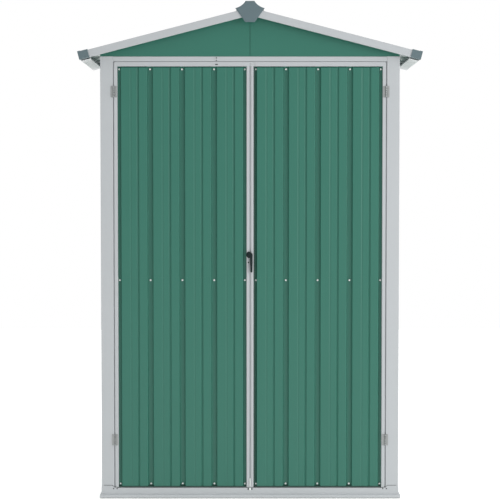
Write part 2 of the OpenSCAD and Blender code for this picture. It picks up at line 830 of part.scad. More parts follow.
base_front_rail();
base_back_rail();
base_left_rail();
base_right_rail();
post_front_left();
post_front_right();
post_back_left();
post_back_right();
header_front();
top_rail_back();
top_rail_left();
top_rail_right();
side_wall_left();
side_wall_right();
back_wall();
wall_mid_rails();
gable_front();
gable_back();
roof_panel_left();
roof_panel_right();
ridge_cap();
verge_front_left();
verge_front_right();
verge_back_left();
verge_back_right();
eave_trim_left();
eave_trim_right();
verge_caps();
ridge_plug_front();
ridge_plug_back();
left_hinge_post_leaves();
right_hinge_post_leaves();
left_door_panel();
left_door_hinge_stile();
left_door_closing_strip();
left_door_rails();
left_door_hinge_leaves();
handle_rosette();
handle_lever();
right_door_panel();
right_door_hinge_stile();
right_door_meeting_stile();
right_door_rails();
right_door_hinge_leaves();
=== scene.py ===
import math

import bmesh
import bpy
import numpy as np
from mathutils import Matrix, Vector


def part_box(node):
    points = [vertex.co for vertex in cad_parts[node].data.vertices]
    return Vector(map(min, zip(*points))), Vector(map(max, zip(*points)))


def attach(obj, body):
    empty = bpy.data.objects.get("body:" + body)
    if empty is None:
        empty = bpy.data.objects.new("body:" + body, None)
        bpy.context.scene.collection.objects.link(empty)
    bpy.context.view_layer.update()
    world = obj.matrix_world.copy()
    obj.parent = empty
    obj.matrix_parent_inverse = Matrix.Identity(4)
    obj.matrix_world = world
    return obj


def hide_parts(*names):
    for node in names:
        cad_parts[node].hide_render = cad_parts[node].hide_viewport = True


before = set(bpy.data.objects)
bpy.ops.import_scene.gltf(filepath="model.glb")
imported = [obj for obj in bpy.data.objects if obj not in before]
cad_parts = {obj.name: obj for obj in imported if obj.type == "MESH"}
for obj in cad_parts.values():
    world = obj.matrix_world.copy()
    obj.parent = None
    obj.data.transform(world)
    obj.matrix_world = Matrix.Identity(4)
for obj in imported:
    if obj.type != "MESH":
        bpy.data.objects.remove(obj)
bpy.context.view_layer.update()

# Base rails
# Four rails of light grey coated steel lie on the ground and carry the posts and the walls.
# Each is one strip, folded to an upright plate, a rounded foot and a flange, and mitred at its ends.
MM = 0.001
HALF_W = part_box("post_front_right")[1].x / MM
HALF_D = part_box("post_back_left")[1].y / MM
STRIP_WALL = 1.0
STRIP_BEND = 1.8
BASE_H = 38.0
FOOT_H = 14.0
FOOT_OUT = 6.0
GROUND_FLANGE = 42.0
TAB_RISE = 7.0
TAB_IN = 480.0
SILL_LIP = 6.0
STOP_REACH = 8.5
LEG_SHARE = 0.45
FOOT_STEPS = 6
CLOUD_MM = 240
STREAK_MM = 9
STREAK_SHARE = 0.4
PEEL_MM = 5
PEEL_DEPTH = 0.3
PEEL_STRENGTH = 0.12
GLOSS_SPREAD = 0.07
LIGHT_GREY = "#BABEC1"
LIGHT_GREY_SHADE = "#B5B9BC"

# Place, way across and way inwards of each side of the body, seen from outside
SIDES = {
    "front": ((0, -HALF_D, 0), (1, 0, 0), (0, 1, 0)),
    "back": ((0, HALF_D, 0), (-1, 0, 0), (0, -1, 0)),
    "left": ((-HALF_W, 0, 0), (0, -1, 0), (1, 0, 0)),
    "right": ((HALF_W, 0, 0), (0, 1, 0), (-1, 0, 0)),
}
ACROSS, INWARD, OUT, UP = (1, 0, 0), (0, 1, 0), (0, -1, 0), (0, 0, 1)


def linear(hex_colour):
    """An sRGB hex colour as linear light: the curve's straight foot, then its power."""
    srgb = np.array([int(hex_colour[i:i + 2], 16) for i in (1, 3, 5)]) / 255
    light = np.where(srgb <= 0.04045, srgb / 12.92, ((srgb + 0.055) / 1.055) ** 2.4)
    return (*light.tolist(), 1.0)


def per(size_mm):
    """Scale of a pattern on Object coordinates whose features are this many millimetres apart."""
    return 1 / (size_mm * MM)


def add(tree, kind, inputs, **settings):
    """Adds a node with its settings, and gives each input a value or a link."""
    made = tree.nodes.new(kind)
    for name, value in settings.items():
        setattr(made, name, value)
    for name, value in inputs.items():
        if isinstance(value, bpy.types.NodeSocket):
            tree.links.new(value, made.inputs[name])
        else:
            made.inputs[name].default_value = value
    return made


def noise(tree, place, size_mm, detail):
    """A noise whose features are this many millimetres apart."""
    return add(tree, "ShaderNodeTexNoise", {
        "Vector": place, "Scale": per(size_mm), "Detail": detail}).outputs["Fac"]


def blend(tree, factor, low, high):
    """A colour between two others: the low one where the factor is nought, the high one at one."""
    return add(tree, "ShaderNodeMix", {
        "Factor": factor, 6: low, 7: high}, data_type="RGBA").outputs[2]


def spread(tree, value, low, high):
    """A value from nought to one, spread between two limits."""
    return add(tree, "ShaderNodeMapRange", {
        "Value": value, "To Min": low, "To Max": high}).outputs["Result"]


def new_material(name):
    """An empty material, its node tree, its output and its Object coordinates."""
    material = bpy.data.materials.new(name)
    material.use_nodes = True
    tree = material.node_tree
    tree.nodes.clear()
    output = add(tree, "ShaderNodeOutputMaterial", {})
    place = add(tree, "ShaderNodeTexCoord", {}).outputs["Object"]
    return material, tree, output, place


def satin_coat(tree, output, place, tone, roughness):
    """Polyester coat over a tone: a broad, soft highlight that a fine orange peel breaks up."""
    # The peel is about 1.5 mm apart on the real coat, and drawn at 5 mm so that it shows
    bump = add(tree, "ShaderNodeBump", {
        "Height": noise(tree, place, PEEL_MM, detail=2), "Strength": PEEL_STRENGTH,
        "Distance": PEEL_DEPTH * MM})
    coat = add(tree, "ShaderNodeBsdfPrincipled", {
        "Base Color": tone, "Roughness": roughness, "Normal": bump.outputs["Normal"],
        "IOR": 1.5, "Specular IOR Level": 0.4})
    tree.links.new(coat.outputs["BSDF"], output.inputs["Surface"])


def coated_steel(name, colour, shade, roughness, streak=(1, 1, 1)):
    """Coil-coated steel: a satin polyester coat with a faint orange peel, a slow drift in tone
    and thin streaks along the way it was rolled. It gives soft, broad highlights."""
    material, tree, output, place = new_material(name)
    stretched = add(tree, "ShaderNodeMapping", {"Vector": place, "Scale": streak})
    rolled = noise(tree, stretched.outputs["Vector"], STREAK_MM, detail=2)
    cloud = noise(tree, place, CLOUD_MM, detail=3)
    drift = add(tree, "ShaderNodeMix", {
        "Factor": STREAK_SHARE, 2: cloud, 3: rolled}, data_type="FLOAT").outputs[0]
    tone = blend(tree, drift, linear(shade), linear(colour))
    gloss = spread(tree, drift, roughness - GLOSS_SPREAD, roughness + GLOSS_SPREAD)
    satin_coat(tree, output, place, tone, gloss)
    return material


light_grey_steel = coated_steel(
    "Light grey polyester coated steel", LIGHT_GREY, LIGHT_GREY_SHADE, roughness=0.42)


def fold(corners, bend, steps=4):
    """Line of a folded strip: straight legs, and at each corner an arc of the bend radius that
    leaves one leg and meets the next where it touches them."""
    corners = np.asarray(corners, float)
    legs = np.diff(corners, axis=0)
    lengths = np.linalg.norm(legs, axis=1)
    ways = legs / lengths[:, None]
    before, after = ways[:-1], ways[1:]
    cross = before[:, 0] * after[:, 1] - before[:, 1] * after[:, 0]
    turn = np.arctan2(cross, (before * after).sum(1))
    half_tan = np.tan(np.abs(turn) / 2)
    reach = np.minimum(bend * half_tan, LEG_SHARE * np.minimum(lengths[:-1], lengths[1:]))
    radius = (reach / half_tan)[:, None, None]
    aside = np.sign(turn)[:, None] * np.stack([-before[:, 1], before[:, 0]], 1)
    angle = (np.abs(turn)[:, None] * np.linspace(0, 1, steps + 1))[..., None]
    start = (corners[1:-1] - before * reach[:, None])[:, None]
    arcs = start + radius * (np.sin(angle) * before[:, None] + (1 - np.cos(angle)) * aside[:, None])
    return np.concatenate([corners[:1], arcs.reshape(-1, 2), corners[-1:]])


def moved_aside(line, distance, closed=False):
    """The line moved square to itself, to the left of its way: each point goes along the mean
    normal of its two legs, further at a bend so that the distance stays even."""
    ring = np.concatenate([line, line[:1]]) if closed else line
    legs = np.diff(ring, axis=0)
    legs = legs / np.linalg.norm(legs, axis=1)[:, None]
    normals = np.stack([-legs[:, 1], legs[:, 0]], 1)
    first = np.concatenate([normals[-1:] if closed else normals[:1], normals])
    last = np.concatenate([normals, normals[:1] if closed else normals[-1:]])
    mean = (first + last)[:len(line)]
    mean = mean / np.linalg.norm(mean, axis=1)[:, None]
    return line + distance * mean / (mean * last[:len(line)]).sum(1)[:, None]


def walled(line, wall):
    """Section of a strip: its face line and the line of its back, one wall behind it."""
    return np.stack([line, moved_aside(line, wall)])


def carried(section, place, across, inward, along, runs):
    """A section carried along a straight run: place + first coordinate across + second
    coordinate inward + distance along. runs has a row for each station, and may differ from
    point to point of the section, which mitres an end. Gives stations x lines x points x 3."""
    runs = np.asarray(runs, float)
    runs = runs.reshape(-1, 1, 1) if runs.ndim == 1 else runs
    runs = np.broadcast_to(runs, (len(runs), *section.shape[:2]))
    return place + section[..., :1] * across + section[..., 1:] * inward + runs[..., None] * along


def quads(index):
    """Four corners of every cell of a grid of point numbers."""
    cells = np.stack([index[:-1, :-1], index[:-1, 1:], index[1:, 1:], index[1:, :-1]], -1)
    return cells.reshape(-1, 4)


def new_piece(name, points, faces, materials, face_material=None, crisp=38):
    """A mesh in metres from points in millimetres, with its faces turned outwards, smooth over
    bends and sharp at edges over the crisp angle."""
    mesh = bpy.data.meshes.new(name)
    metres = np.asarray(points).reshape(-1, 3) * MM
    mesh.from_pydata(metres.tolist(), [], [list(face) for face in faces])
    for material in materials:
        mesh.materials.append(material)
    if face_material is not None:
        mesh.polygons.foreach_set("material_index", face_material)
    shell = bmesh.new()
    shell.from_mesh(mesh)
    bmesh.ops.recalc_face_normals(shell, faces=shell.faces)
    shell.to_mesh(mesh)
    shell.free()
    mesh.shade_smooth()
    mesh.set_sharp_from_angle(angle=math.radians(crisp))
    made = bpy.data.objects.new(name, mesh)
    bpy.context.scene.collection.objects.link(made)
    weighted = made.modifiers.new("even_flats", "WEIGHTED_NORMAL")
    weighted.keep_sharp = True
    return made


def strip_faces(grid):
    """Faces of a carried strip: its face first, then its back, its two long edges and its ends."""
    index = np.arange(grid[..., 0].size).reshape(grid.shape[:3])
    face = quads(index[:, 0])
    rest = [quads(index[:, 1]), quads(index[:, :, 0]), quads(index[:, :, -1]),
            quads(index[0]), quads(index[-1])]
    return face, np.concatenate(rest)


def as_shell(grid):
    """Points and faces of a carried strip, ready to be joined."""
    return grid, np.concatenate(strip_faces(grid)).tolist()


def joined(*parts):
    """Points and faces of several shells as one mesh."""
    points, faces = np.zeros((0, 3)), []
    for part_points, part_faces in parts:
        faces += [[corner + len(points) for corner in face] for face in part_faces]
        points = np.concatenate([points, part_points.reshape(-1, 3)])
    return points, faces


def strip_piece(name, grid, materials):
    """A carried strip as a piece. The first material is on its face, the last on all the rest."""
    face, rest = strip_faces(grid)
    kinds = np.repeat([0, len(materials) - 1], [len(face), len(rest)])
    return new_piece(name, grid, np.concatenate([face, rest]), materials, kinds)


def fixed(piece, body, slot, *nodes):
    """The piece rides on a body and stands for the named nodes, which it hides. The slot is not
    used.
    """
    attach(piece, body)
    if nodes:
        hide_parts(*nodes)


def grey_strip(node, body, *shells):
    """A strip of light grey steel, of one or more shells, that stands for a node."""
    piece = new_piece(f"{node}_skin", *joined(*shells), [light_grey_steel])
    fixed(piece, body, "light_grey_steel", node)


def box_grid(low, high):
    """A thin plate as a carried strip: its face at the low second coordinate."""
    section = walled(np.array([[low[0], low[1]], [high[0], low[1]]]), high[1] - low[1])
    return carried(section, (0, 0, 0), ACROSS, INWARD, UP, (low[2], high[2]))


foot_edge = -STRIP_WALL - FOOT_OUT
base_line = fold([
    (-STRIP_WALL, BASE_H), (-STRIP_WALL, FOOT_H), (foot_edge, FOOT_H), (foot_edge, 0),
    (GROUND_FLANGE, 0)], FOOT_OUT - STRIP_WALL, FOOT_STEPS)
base_section = walled(base_line, STRIP_WALL)
for side, half_length in (
        ("front", HALF_W), ("back", HALF_W), ("left", HALF_D), ("right", HALF_D)):
    place, across, inward = SIDES[side]
    mitre = half_length - base_section[..., 0]
    grid = carried(base_section, place, inward, UP, across, np.stack([-mitre, mitre]))
    shells = [as_shell(grid)]
    if side == "front":
        # The front rail also has a tab before each post's foot and a lip under the doors
        tab = np.array([
            (-HALF_W, BASE_H), (-HALF_W, BASE_H + TAB_RISE), (-TAB_IN - TAB_RISE, BASE_H + TAB_RISE),
            (-TAB_IN, BASE_H)])
        tabs = np.stack([tab, tab * (-1, 1)])
        tab_points = np.stack([
            np.insert(tabs, 1, depth, axis=-1) for depth in (-HALF_D - STRIP_WALL, -HALF_D)], 1)
        tab_index = np.arange(tab_points[..., 0].size).reshape(tab_points.shape[:3])
        around = np.roll(tab_index, -1, axis=2)
        walls = np.stack([tab_index[:, 0], around[:, 0], around[:, 1], tab_index[:, 1]], -1)
        tab_faces = np.concatenate([tab_index.reshape(-1, 4), walls.reshape(-1, 4)]).tolist()
        sill = box_grid((STOP_REACH - TAB_IN, -HALF_D - STRIP_WALL, BASE_H - STRIP_WALL),
                        (TAB_IN - STOP_REACH, -HALF_D + SILL_LIP, BASE_H))
        shells += [as_shell(sill), (tab_points, tab_faces)]
    grey_strip(f"base_{side}_rail", "shed", *shells)

# Corner posts
# Four folded posts of the same light grey strip stand in the base rails. The front posts end in
# a stop for the doors, the others in ledges behind the edges of the wall sheets.
POST_FACE = 45.0
POST_SIDE = 27.0
SHEET_WALL = 0.6
SHEET_RECESS = 2.5
VALLEY_DEPTH = (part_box("back_wall")[1].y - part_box("back_wall")[0].y) / MM - SHEET_WALL
LEDGE = 19.0
STOP_DEPTH = 6.0
SEAT = SHEET_RECESS + VALLEY_DEPTH + SHEET_WALL
POST_Z = [corner.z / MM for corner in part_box("post_front_left")]

wall_leg = [(SEAT, POST_SIDE + LEDGE), (SEAT, POST_SIDE), (0, POST_SIDE), (0, 0)]
stop_leg = [(POST_FACE, 0), (POST_FACE, STOP_DEPTH), (POST_FACE + STOP_REACH, STOP_DEPTH)]
sheet_leg = [(POST_FACE, 0), (POST_FACE, SEAT), (POST_FACE + LEDGE, SEAT)]
for front, corners in ((True, wall_leg + stop_leg), (False, wall_leg + sheet_leg)):
    # The line runs so that its left is the inside of the post
    post_section = walled(fold(corners, STRIP_BEND), STRIP_WALL)
    for hand, way in (("left", 1), ("right", -1)):
        end = "front" if front else "back"
        corner = (-way * HALF_W, -HALF_D if front else HALF_D, 0)
        grid = carried(post_section, corner, (way, 0, 0), INWARD if front else OUT, UP, POST_Z)
        grey_strip(f"post_{end}_{hand}", "shed", as_shell(grid))

# Header and top rails
# Light grey folded rails close the walls at the top. The header over the doors carries the gable
# on its top plate, and a lip under its face stops the doors.
HEADER_FACE = 17.0
STOP_DROP = 8.0
LIP_MARGIN = 0.1
HEADER_TOP = POST_Z[1]
HEADER_LOW = HEADER_TOP - HEADER_FACE
HEADER_IN = (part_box("header_front")[1].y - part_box("header_front")[0].y) / MM

header_line = fold([
    (HEADER_IN, HEADER_TOP), (0, HEADER_TOP), (0, HEADER_LOW), (STOP_DEPTH, HEADER_LOW),
    (STOP_DEPTH, HEADER_LOW - STOP_DROP)], STRIP_BEND)
header_section = walled(header_line, STRIP_WALL)
is_lip = header_section[..., 0] > STOP_DEPTH - STRIP_BEND - LIP_MARGIN
header_half = np.where(is_lip, TAB_IN - STOP_REACH, TAB_IN)
header_runs = np.stack([-header_half, header_half])
header_grid = carried(header_section, (0, -HALF_D, 0), INWARD, UP, ACROSS, header_runs)
grey_strip("header_front", "shed", as_shell(header_grid))


def finish_nodes(material, *names):
    """Gives solids that keep their own shape a finished material."""
    for name in names:
        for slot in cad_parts[name].material_slots:
            slot.material = material


finish_nodes(light_grey_steel, "top_rail_back", "top_rail_left", "top_rail_right", "wall_mid_rails")

# Wall sheets
# Green coil-coated sheets, roll-formed with wide valleys, a narrow stiffening groove and a faint
# crease, close the sides and the back. Each is in two lengths, the upper lapped over the lower
# at mid-height and turned in at its top edge, with a thin pale grey back coat.
GREEN = "#316F60"
GREEN_SHADE = "#2D6A5B"
BACK_COAT = "#A3B0AC"
BACK_COAT_SHADE = "#98A6A2"
VALLEY_FLOOR = 7.8
VALLEY_MOUTH = 10.5
GROOVE_DEPTH = 4.5
GROOVE_HALF = 4.5
GROOVE_SHARE = 0.62
CREASE_DEPTH = 1.0
CREASE_HALF = 4.0
CREASE_SHARE = 0.39
ROLL_BEND = 1.8
ROLL_STEPS = 3
EDGE_MARGIN = 0.5
SHEET_ROWS = 37
SHEET_WAVE = 0.25
# Length across, length along and share of the seed of each slow wave
WAVES = ((71, 190, 1), (43, -310, 2.1), (160, 120, 0.7))
WALL_SHEET_Z = [corner.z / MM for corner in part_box("back_wall")]
WALL_PITCH = 113.0
LAP_Z = 783.6
LAP_EDGE = 0.1
TOP_TURN_H = 6.0
TOP_TURN_IN = 6.0
TOP_TURN_ROWS = 5
SIDE_WIDTH = 2 * (HALF_D - POST_SIDE)
WALL_WIDTHS = {"left": SIDE_WIDTH, "right": SIDE_WIDTH, "back": 2 * (HALF_W - POST_FACE)}
WALL_SEED_STEP = 3

green_steel = coated_steel(
    "Green polyester coated steel", GREEN, GREEN_SHADE, roughness=0.4, streak=(1, 1, 0.02))
back_coat = coated_steel(
    "Pale grey back coat on steel", BACK_COAT, BACK_COAT_SHADE, roughness=0.55)


def roll_formed(start, end, pitch):
    """Line of a roll-formed sheet between two edges, for valleys counted from place zero: the
    breakpoints of one pitch repeat, the depth at the edges is read off between them, and every
    fold is rounded to the rolls' bend."""
    crease, groove = CREASE_SHARE * pitch, GROOVE_SHARE * pitch
    one = np.array([
        (-VALLEY_FLOOR, VALLEY_DEPTH), (VALLEY_FLOOR, VALLEY_DEPTH), (VALLEY_MOUTH, 0),
        (crease - CREASE_HALF, 0), (crease, CREASE_DEPTH), (crease + CREASE_HALF, 0),
        (groove - GROOVE_HALF, 0), (groove, GROOVE_DEPTH), (groove + GROOVE_HALF, 0),
        (pitch - VALLEY_MOUTH, 0)])
    turns = np.arange(math.floor(start / pitch) - 1, math.ceil(end / pitch) + 2)
    line = (one + np.stack([turns * pitch, 0 * turns], 1)[:, None]).reshape(-1, 2)
    edges = np.array([start, end])
    edge_points = np.stack([edges, np.interp(edges, line[:, 0], line[:, 1])], 1)
    inside = line[(line[:, 0] > start + EDGE_MARGIN) & (line[:, 0] < end - EDGE_MARGIN)]
    return fold(np.concatenate([edge_points[:1], inside, edge_points[1:]]), ROLL_BEND, ROLL_STEPS)


def sheet_grid(line, place, across, inward, along, run, seed, lap=None):
    """A roll-formed sheet carried along a run, with the slow waves that thin sheet has between
    its ribs: three crossing sines whose phases depend on the seed. Beyond a lap, a second length
    of sheet lies on the first, steps out by its wall, and has a top edge whose flats turn in
    with the square of the height."""
    stations = np.linspace(*run, SHEET_ROWS)
    if lap is not None:
        turned_in = run[1] - TOP_TURN_H * np.linspace(1, 1 / TOP_TURN_ROWS, TOP_TURN_ROWS)
        stations = np.sort(np.concatenate([stations, (lap - LAP_EDGE, lap), turned_in]))
    grid = carried(walled(line, SHEET_WALL), place, across, inward, along, stations)
    u, w = line[:, 0], stations[:, None]
    waves = [np.sin(u / wide + w / long + share * seed) for wide, long, share in WAVES]
    shift = SHEET_WAVE * np.mean(waves, axis=0)
    if lap is not None:
        flat = 1 - (line[:, 1] - line[:, 1].min()) / VALLEY_DEPTH
        turn = np.clip((w - run[1]) / TOP_TURN_H + 1, 0, 1) ** 2
        shift = shift - SHEET_WALL * (w >= lap) + TOP_TURN_IN * turn * flat
    return grid + shift[:, None, :, None] * inward


for count, (side, width) in enumerate(WALL_WIDTHS.items()):
    name = "back_wall" if side == "back" else f"side_wall_{side}"
    pitch = width / round(width / WALL_PITCH)
    line = roll_formed(0, width, pitch) + (-width / 2, SHEET_RECESS)
    grid = sheet_grid(line, *SIDES[side], UP, WALL_SHEET_Z, WALL_SEED_STEP * count, LAP_Z)
    sheet = strip_piece(f"{name}_sheet", grid, [green_steel, back_coat])
    fixed(sheet, "shed", "green_steel", name)

# Gables
# Two flat green sheets close each end under the roof, and meet in an upright seam where their
# edges are folded back. Outside they have the green coat, inside the pale back coat.
INNER_LIMIT = -0.02
GABLE_GLOSS = (0.33, 0.5)


def reckoned(tree, operation, *values):
    """The result of one operation on values or links."""
    return add(tree, "ShaderNodeMath", dict(enumerate(values)), operation=operation).outputs[0]


def two_sided_steel(name, outside, inside):
    """Coated steel with another coat on its back: a face that looks towards the middle of the
    shed, along Y, has the inner coat. The eye sees green outside and pale grey inside."""
    material, tree, output, place = new_material(name)
    facing = add(tree, "ShaderNodeTexCoord", {}).outputs["Normal"]
    depths = [add(tree, "ShaderNodeSeparateXYZ", {"Vector": way}).outputs["Y"]
              for way in (place, facing)]
    is_outside = reckoned(tree, "GREATER_THAN", reckoned(tree, "MULTIPLY", *depths), INNER_LIMIT)
    cloud = noise(tree, place, CLOUD_MM, detail=3)
    outer, inner = (
        blend(tree, cloud, linear(shade), linear(colour)) for colour, shade in (outside, inside))
    tone = blend(tree, is_outside, inner, outer)
    satin_coat(tree, output, place, tone, spread(tree, cloud, *GABLE_GLOSS))
    return material


gable_steel = two_sided_steel(
    "Green polyester coated flat steel", (GREEN, GREEN_SHADE), (BACK_COAT, BACK_COAT_SHADE))
finish_nodes(gable_steel, "gable_front", "gable_back")

# Roof sheets
# One green roll-formed sheet lies on each slope, with its valleys running down to the eave. It is
# held by the trims along its edges, and has a pale back coat underneath, painted off-white and
# lighter than the walls' back coat as painted light from below on the shaded underside.
ROOF_PITCH = math.radians(14.5)
SLOPE = np.array([math.cos(ROOF_PITCH), 0, -math.sin(ROOF_PITCH)])
SLOPE_UP = np.array([math.sin(ROOF_PITCH), 0, math.cos(ROOF_PITCH)])
APEX_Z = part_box("verge_front_right")[1].z / MM
HALF_ROOF_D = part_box("verge_back_right")[1].y / MM
MIRROR_X = np.array([-1, 1, 1])
SHEET_END = (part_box("roof_panel_right")[1].x / MM) / math.cos(ROOF_PITCH)
SHEET_START = 3.0
# Painted light: the roof's back coat is lighter than the walls' for light on its shaded underside
ROOF_BACK_LIT = "#F1F4F3"
ROOF_BACK_LIT_SHADE = "#E8ECEB"
ROOF_SEED = 5

roof_inside = 2 * (HALF_ROOF_D - STRIP_WALL)
roof_pitch_y = roof_inside / round(roof_inside / WALL_PITCH)
roof_line = roll_formed(roof_pitch_y / 2, roof_inside + roof_pitch_y / 2, roof_pitch_y)
roof_line = roof_line - (roof_inside / 2 + roof_pitch_y / 2, 0)
roof_coat = coated_steel(
    "Green polyester coated roof steel", GREEN, GREEN_SHADE, roughness=0.4, streak=(0.02, 1, 0.08))
roof_back_lit = coated_steel(
    "Roof back coat, painted lighter for light from below", ROOF_BACK_LIT, ROOF_BACK_LIT_SHADE, roughness=0.5)
roof_place = np.array([0, 0, APEX_Z]) - STRIP_WALL * SLOPE_UP
for hand, mirror in (("left", MIRROR_X), ("right", 1)):
    grid = sheet_grid(
        roof_line, roof_place, INWARD, -SLOPE_UP, SLOPE, (SHEET_START, SHEET_END), ROOF_SEED)
    sheet = strip_piece(f"roof_sheet_{hand}", grid * mirror, [roof_coat, roof_back_lit])
    fixed(sheet, "shed", "green_steel", f"roof_panel_{hand}")

# Eave and verge trims
# Light grey channels, folded from steel strip, are pushed over the edges of the roof sheets and
# screwed. The eave trims are painted paler than the verges, as painted light from below.
EAVE_H = 30.0
EAVE_TOP = 28.0
EAVE_FLANGE = 34.0
EAVE_FROM = 599.1
EAVE_OUT = 19.0
VERGE_H = 26.5
VERGE_FLANGE = 26.0
VERGE_RETURN = 8.0
TRIM_LIP = 5.0
CAP_START = 584.6
# Painted light: the eave trims' grey is paler than the verges' for the light from below
EAVE_LIT_GREY = "#D6D8DA"
EAVE_LIT_GREY_SHADE = "#D1D3D5"
verge_in = HALF_ROOF_D - VERGE_FLANGE
eave_end = EAVE_FROM + EAVE_OUT


def channel(top, low, high):
    """Section line of a trim from the end of its top flange round its face to the lip inside:
    first coordinate in from its outer face, second down from its top."""
    return fold([(top, 0), (0, 0), (0, high), (low, high), (low, high - TRIM_LIP)], STRIP_BEND)


eave_section = walled(channel(EAVE_TOP, EAVE_FLANGE, EAVE_H), -STRIP_WALL)
verge_section = walled(channel(VERGE_FLANGE, VERGE_RETURN, VERGE_H), -STRIP_WALL)
apex = np.array([0, 0, APEX_Z])
eave_lit_steel = coated_steel(
    "Pale grey coated eave steel, painted light from below", EAVE_LIT_GREY, EAVE_LIT_GREY_SHADE, roughness=0.42)
eave_grid = carried(
    eave_section, apex + eave_end * SLOPE, -SLOPE, -SLOPE_UP, INWARD, (-verge_in, verge_in))
# The verges meet under the ridge in an upright cut, where the slope coordinate gains on the drop
ridge_cut = verge_section[..., 1] * math.tan(ROOF_PITCH)
verge_runs = np.stack([ridge_cut, np.full_like(ridge_cut, CAP_START)])
front_apex = apex - (0, HALF_ROOF_D, 0)
verge_grid = carried(verge_section, front_apex, INWARD, -SLOPE_UP, SLOPE, verge_runs)
for hand, mirror in (("left", MIRROR_X), ("right", 1)):
    trim = strip_piece(f"eave_trim_{hand}_skin", eave_grid * mirror, [eave_lit_steel])
    fixed(trim, "shed", "light_grey_steel", f"eave_trim_{hand}")
    for end, turn in (("front", 1), ("back", -1)):
        grid = verge_grid * mirror * (1, turn, 1)
        grey_strip(f"verge_{end}_{hand}", "shed", as_shell(grid))

# Ridge cap
# A light grey steel strip, rolled with hollow sides, covers the gap between the roof sheets. It
# runs the whole length of the ridge and is held by the plugs at its ends.
RIDGE_RISE = 22.0
RIDGE_FLAT = 15.5
RIDGE_HALF = 50.5
RIDGE_TIP_DROP = 25.0
RIDGE_HOLLOW = 0.5
PLUG_WALL = 1.5
TIP_SHARE = 1.6
ROOF_CLEAR = 0.6


def ridge_side(margin, steps=16):
    """Right side of the ridge from its flat top to its tip: between a straight line and a
    quarter ellipse, drawn in by a margin."""
    part = np.linspace(0, 1, steps + 1)
    flat, top = RIDGE_FLAT - margin, RIDGE_RISE - margin
    half, tip = RIDGE_HALF - TIP_SHARE * margin, RIDGE_RISE - RIDGE_TIP_DROP
    angle = part * math.pi / 2
    hollow = np.stack([half - (half - flat) * np.cos(angle), top - (top - tip) * np.sin(angle)], 1)
    straight = np.stack([flat + (half - flat) * part, top + (tip - top) * part], 1)
    return RIDGE_HOLLOW * hollow + (1 - RIDGE_HOLLOW) * straight


def over_roof(side):
    """Line over the ridge, from its right edge to its left: the part of a side that is clear of
    the roof sheets, and its mirror image."""
    side = side[side[:, 1] > -side[:, 0] * math.tan(ROOF_PITCH) + ROOF_CLEAR]
    return np.concatenate([side[::-1] * (-1, 1), side])[::-1]


cap_section = walled(over_roof(ridge_side(PLUG_WALL)), STRIP_WALL)
cap_grid = carried(cap_section, apex, ACROSS, UP, INWARD, (-HALF_ROOF_D, HALF_ROOF_D))
grey_strip("ridge_cap", "shed", as_shell(cap_grid))

# Ridge plugs
# A slate grey moulded plug is pushed over each end of the ridge. Its plate hides where the verges
# meet, with a raised middle inside a narrow rim, and its skirt grips the ridge cap.
SLATE = "#617278"
SLATE_SHADE = "#5B6C71"
PLUG_H = 73.0
PLUG_FOOT = 16.75
PLUG_SKIRT = 14.0
SKIRT_PLAY = 0.1
# Inset and height of each ring of the plate, from its back to its raised middle
PLUG_STEPS = (
    (0, 0), (0, 2.2), (0.25, 2.75), (0.8, 3.0), (2.6, 3.0), (3.1, 3.2), (3.5, 3.8), (4.2, 4.0))
FLOW_MM = 35
GRAIN_SPREAD = 0.06
GRAIN_DEPTH = 0.2


def moulded_plastic(name, colour, shade, roughness, shine, grain_mm, grain_strength):
    """Moulded plastic with a spark-eroded grain: matt, with a soft sheen that the fine grain
    breaks up and a tone that is a little uneven where the melt flowed."""
    material, tree, output, place = new_material(name)
    flow = noise(tree, place, FLOW_MM, detail=2)
    tone = blend(tree, flow, linear(shade), linear(colour))
    grain = noise(tree, place, grain_mm, detail=3)
    gloss = spread(tree, grain, roughness - GRAIN_SPREAD, roughness + GRAIN_SPREAD)
    bump = add(tree, "ShaderNodeBump", {
        "Height": grain, "Strength": grain_strength, "Distance": GRAIN_DEPTH * MM})
    body = add(tree, "ShaderNodeBsdfPrincipled", {
        "Base Color": tone, "Roughness": gloss, "Normal": bump.outputs["Normal"],
        "IOR": 1.49, "Specular IOR Level": shine})
    tree.links.new(body.outputs["BSDF"], output.inputs["Surface"])
    return material


slate_plastic = moulded_plastic(
    "Slate grey polypropylene, moulded", SLATE, SLATE_SHADE,
    roughness=0.5, shine=0.4, grain_mm=3, grain_strength=0.25)


def slab(outline, steps, place):
    """A slab on the front: a closed outline, drawn in by an inset at each step, stacked outwards.
    Gives the points and faces, with a flat end at both sides."""
    rings = np.stack([moved_aside(outline, inset, True) for inset, _ in steps])
    heights = np.array([height for _, height in steps])[:, None, None]
    points = place + rings[..., :1] * ACROSS + rings[..., 1:] * UP + heights * OUT
    index = np.arange(len(steps) * len(outline)).reshape(len(steps), -1)
    sides = quads(np.concatenate([index, index[:, :1]], 1))
    return points.reshape(-1, 3), sides.tolist() + [index[0].tolist(), index[-1].tolist()]


plug_side = ridge_side(0)
foot_z = RIDGE_RISE - PLUG_H
plug_outline = np.concatenate([
    [(-PLUG_FOOT, foot_z), (PLUG_FOOT, foot_z)], plug_side[::-1], plug_side * (-1, 1)])
skirt_section = walled(over_roof(plug_side), PLUG_WALL - SKIRT_PLAY)
skirt_grid = carried(skirt_section, front_apex, ACROSS, UP, INWARD, (0, PLUG_SKIRT))
plug_points, plug_faces = joined(
    slab(plug_outline, PLUG_STEPS, front_apex), as_shell(skirt_grid))
for end, turn in (("front", 1), ("back", -1)):
    plug = new_piece(
        f"ridge_plug_{end}_moulding", plug_points * (1, turn, 1), plug_faces, [slate_plastic])
    fixed(plug, "shed", "slate_plastic", f"ridge_plug_{end}")

# Corner caps
# Slate grey moulded caps close the four corners of the roof, where the verges meet the eave trims.
# They are pushed over the ends of the trims and keep the shape of their solids.
finish_nodes(slate_plastic, "verge_caps")

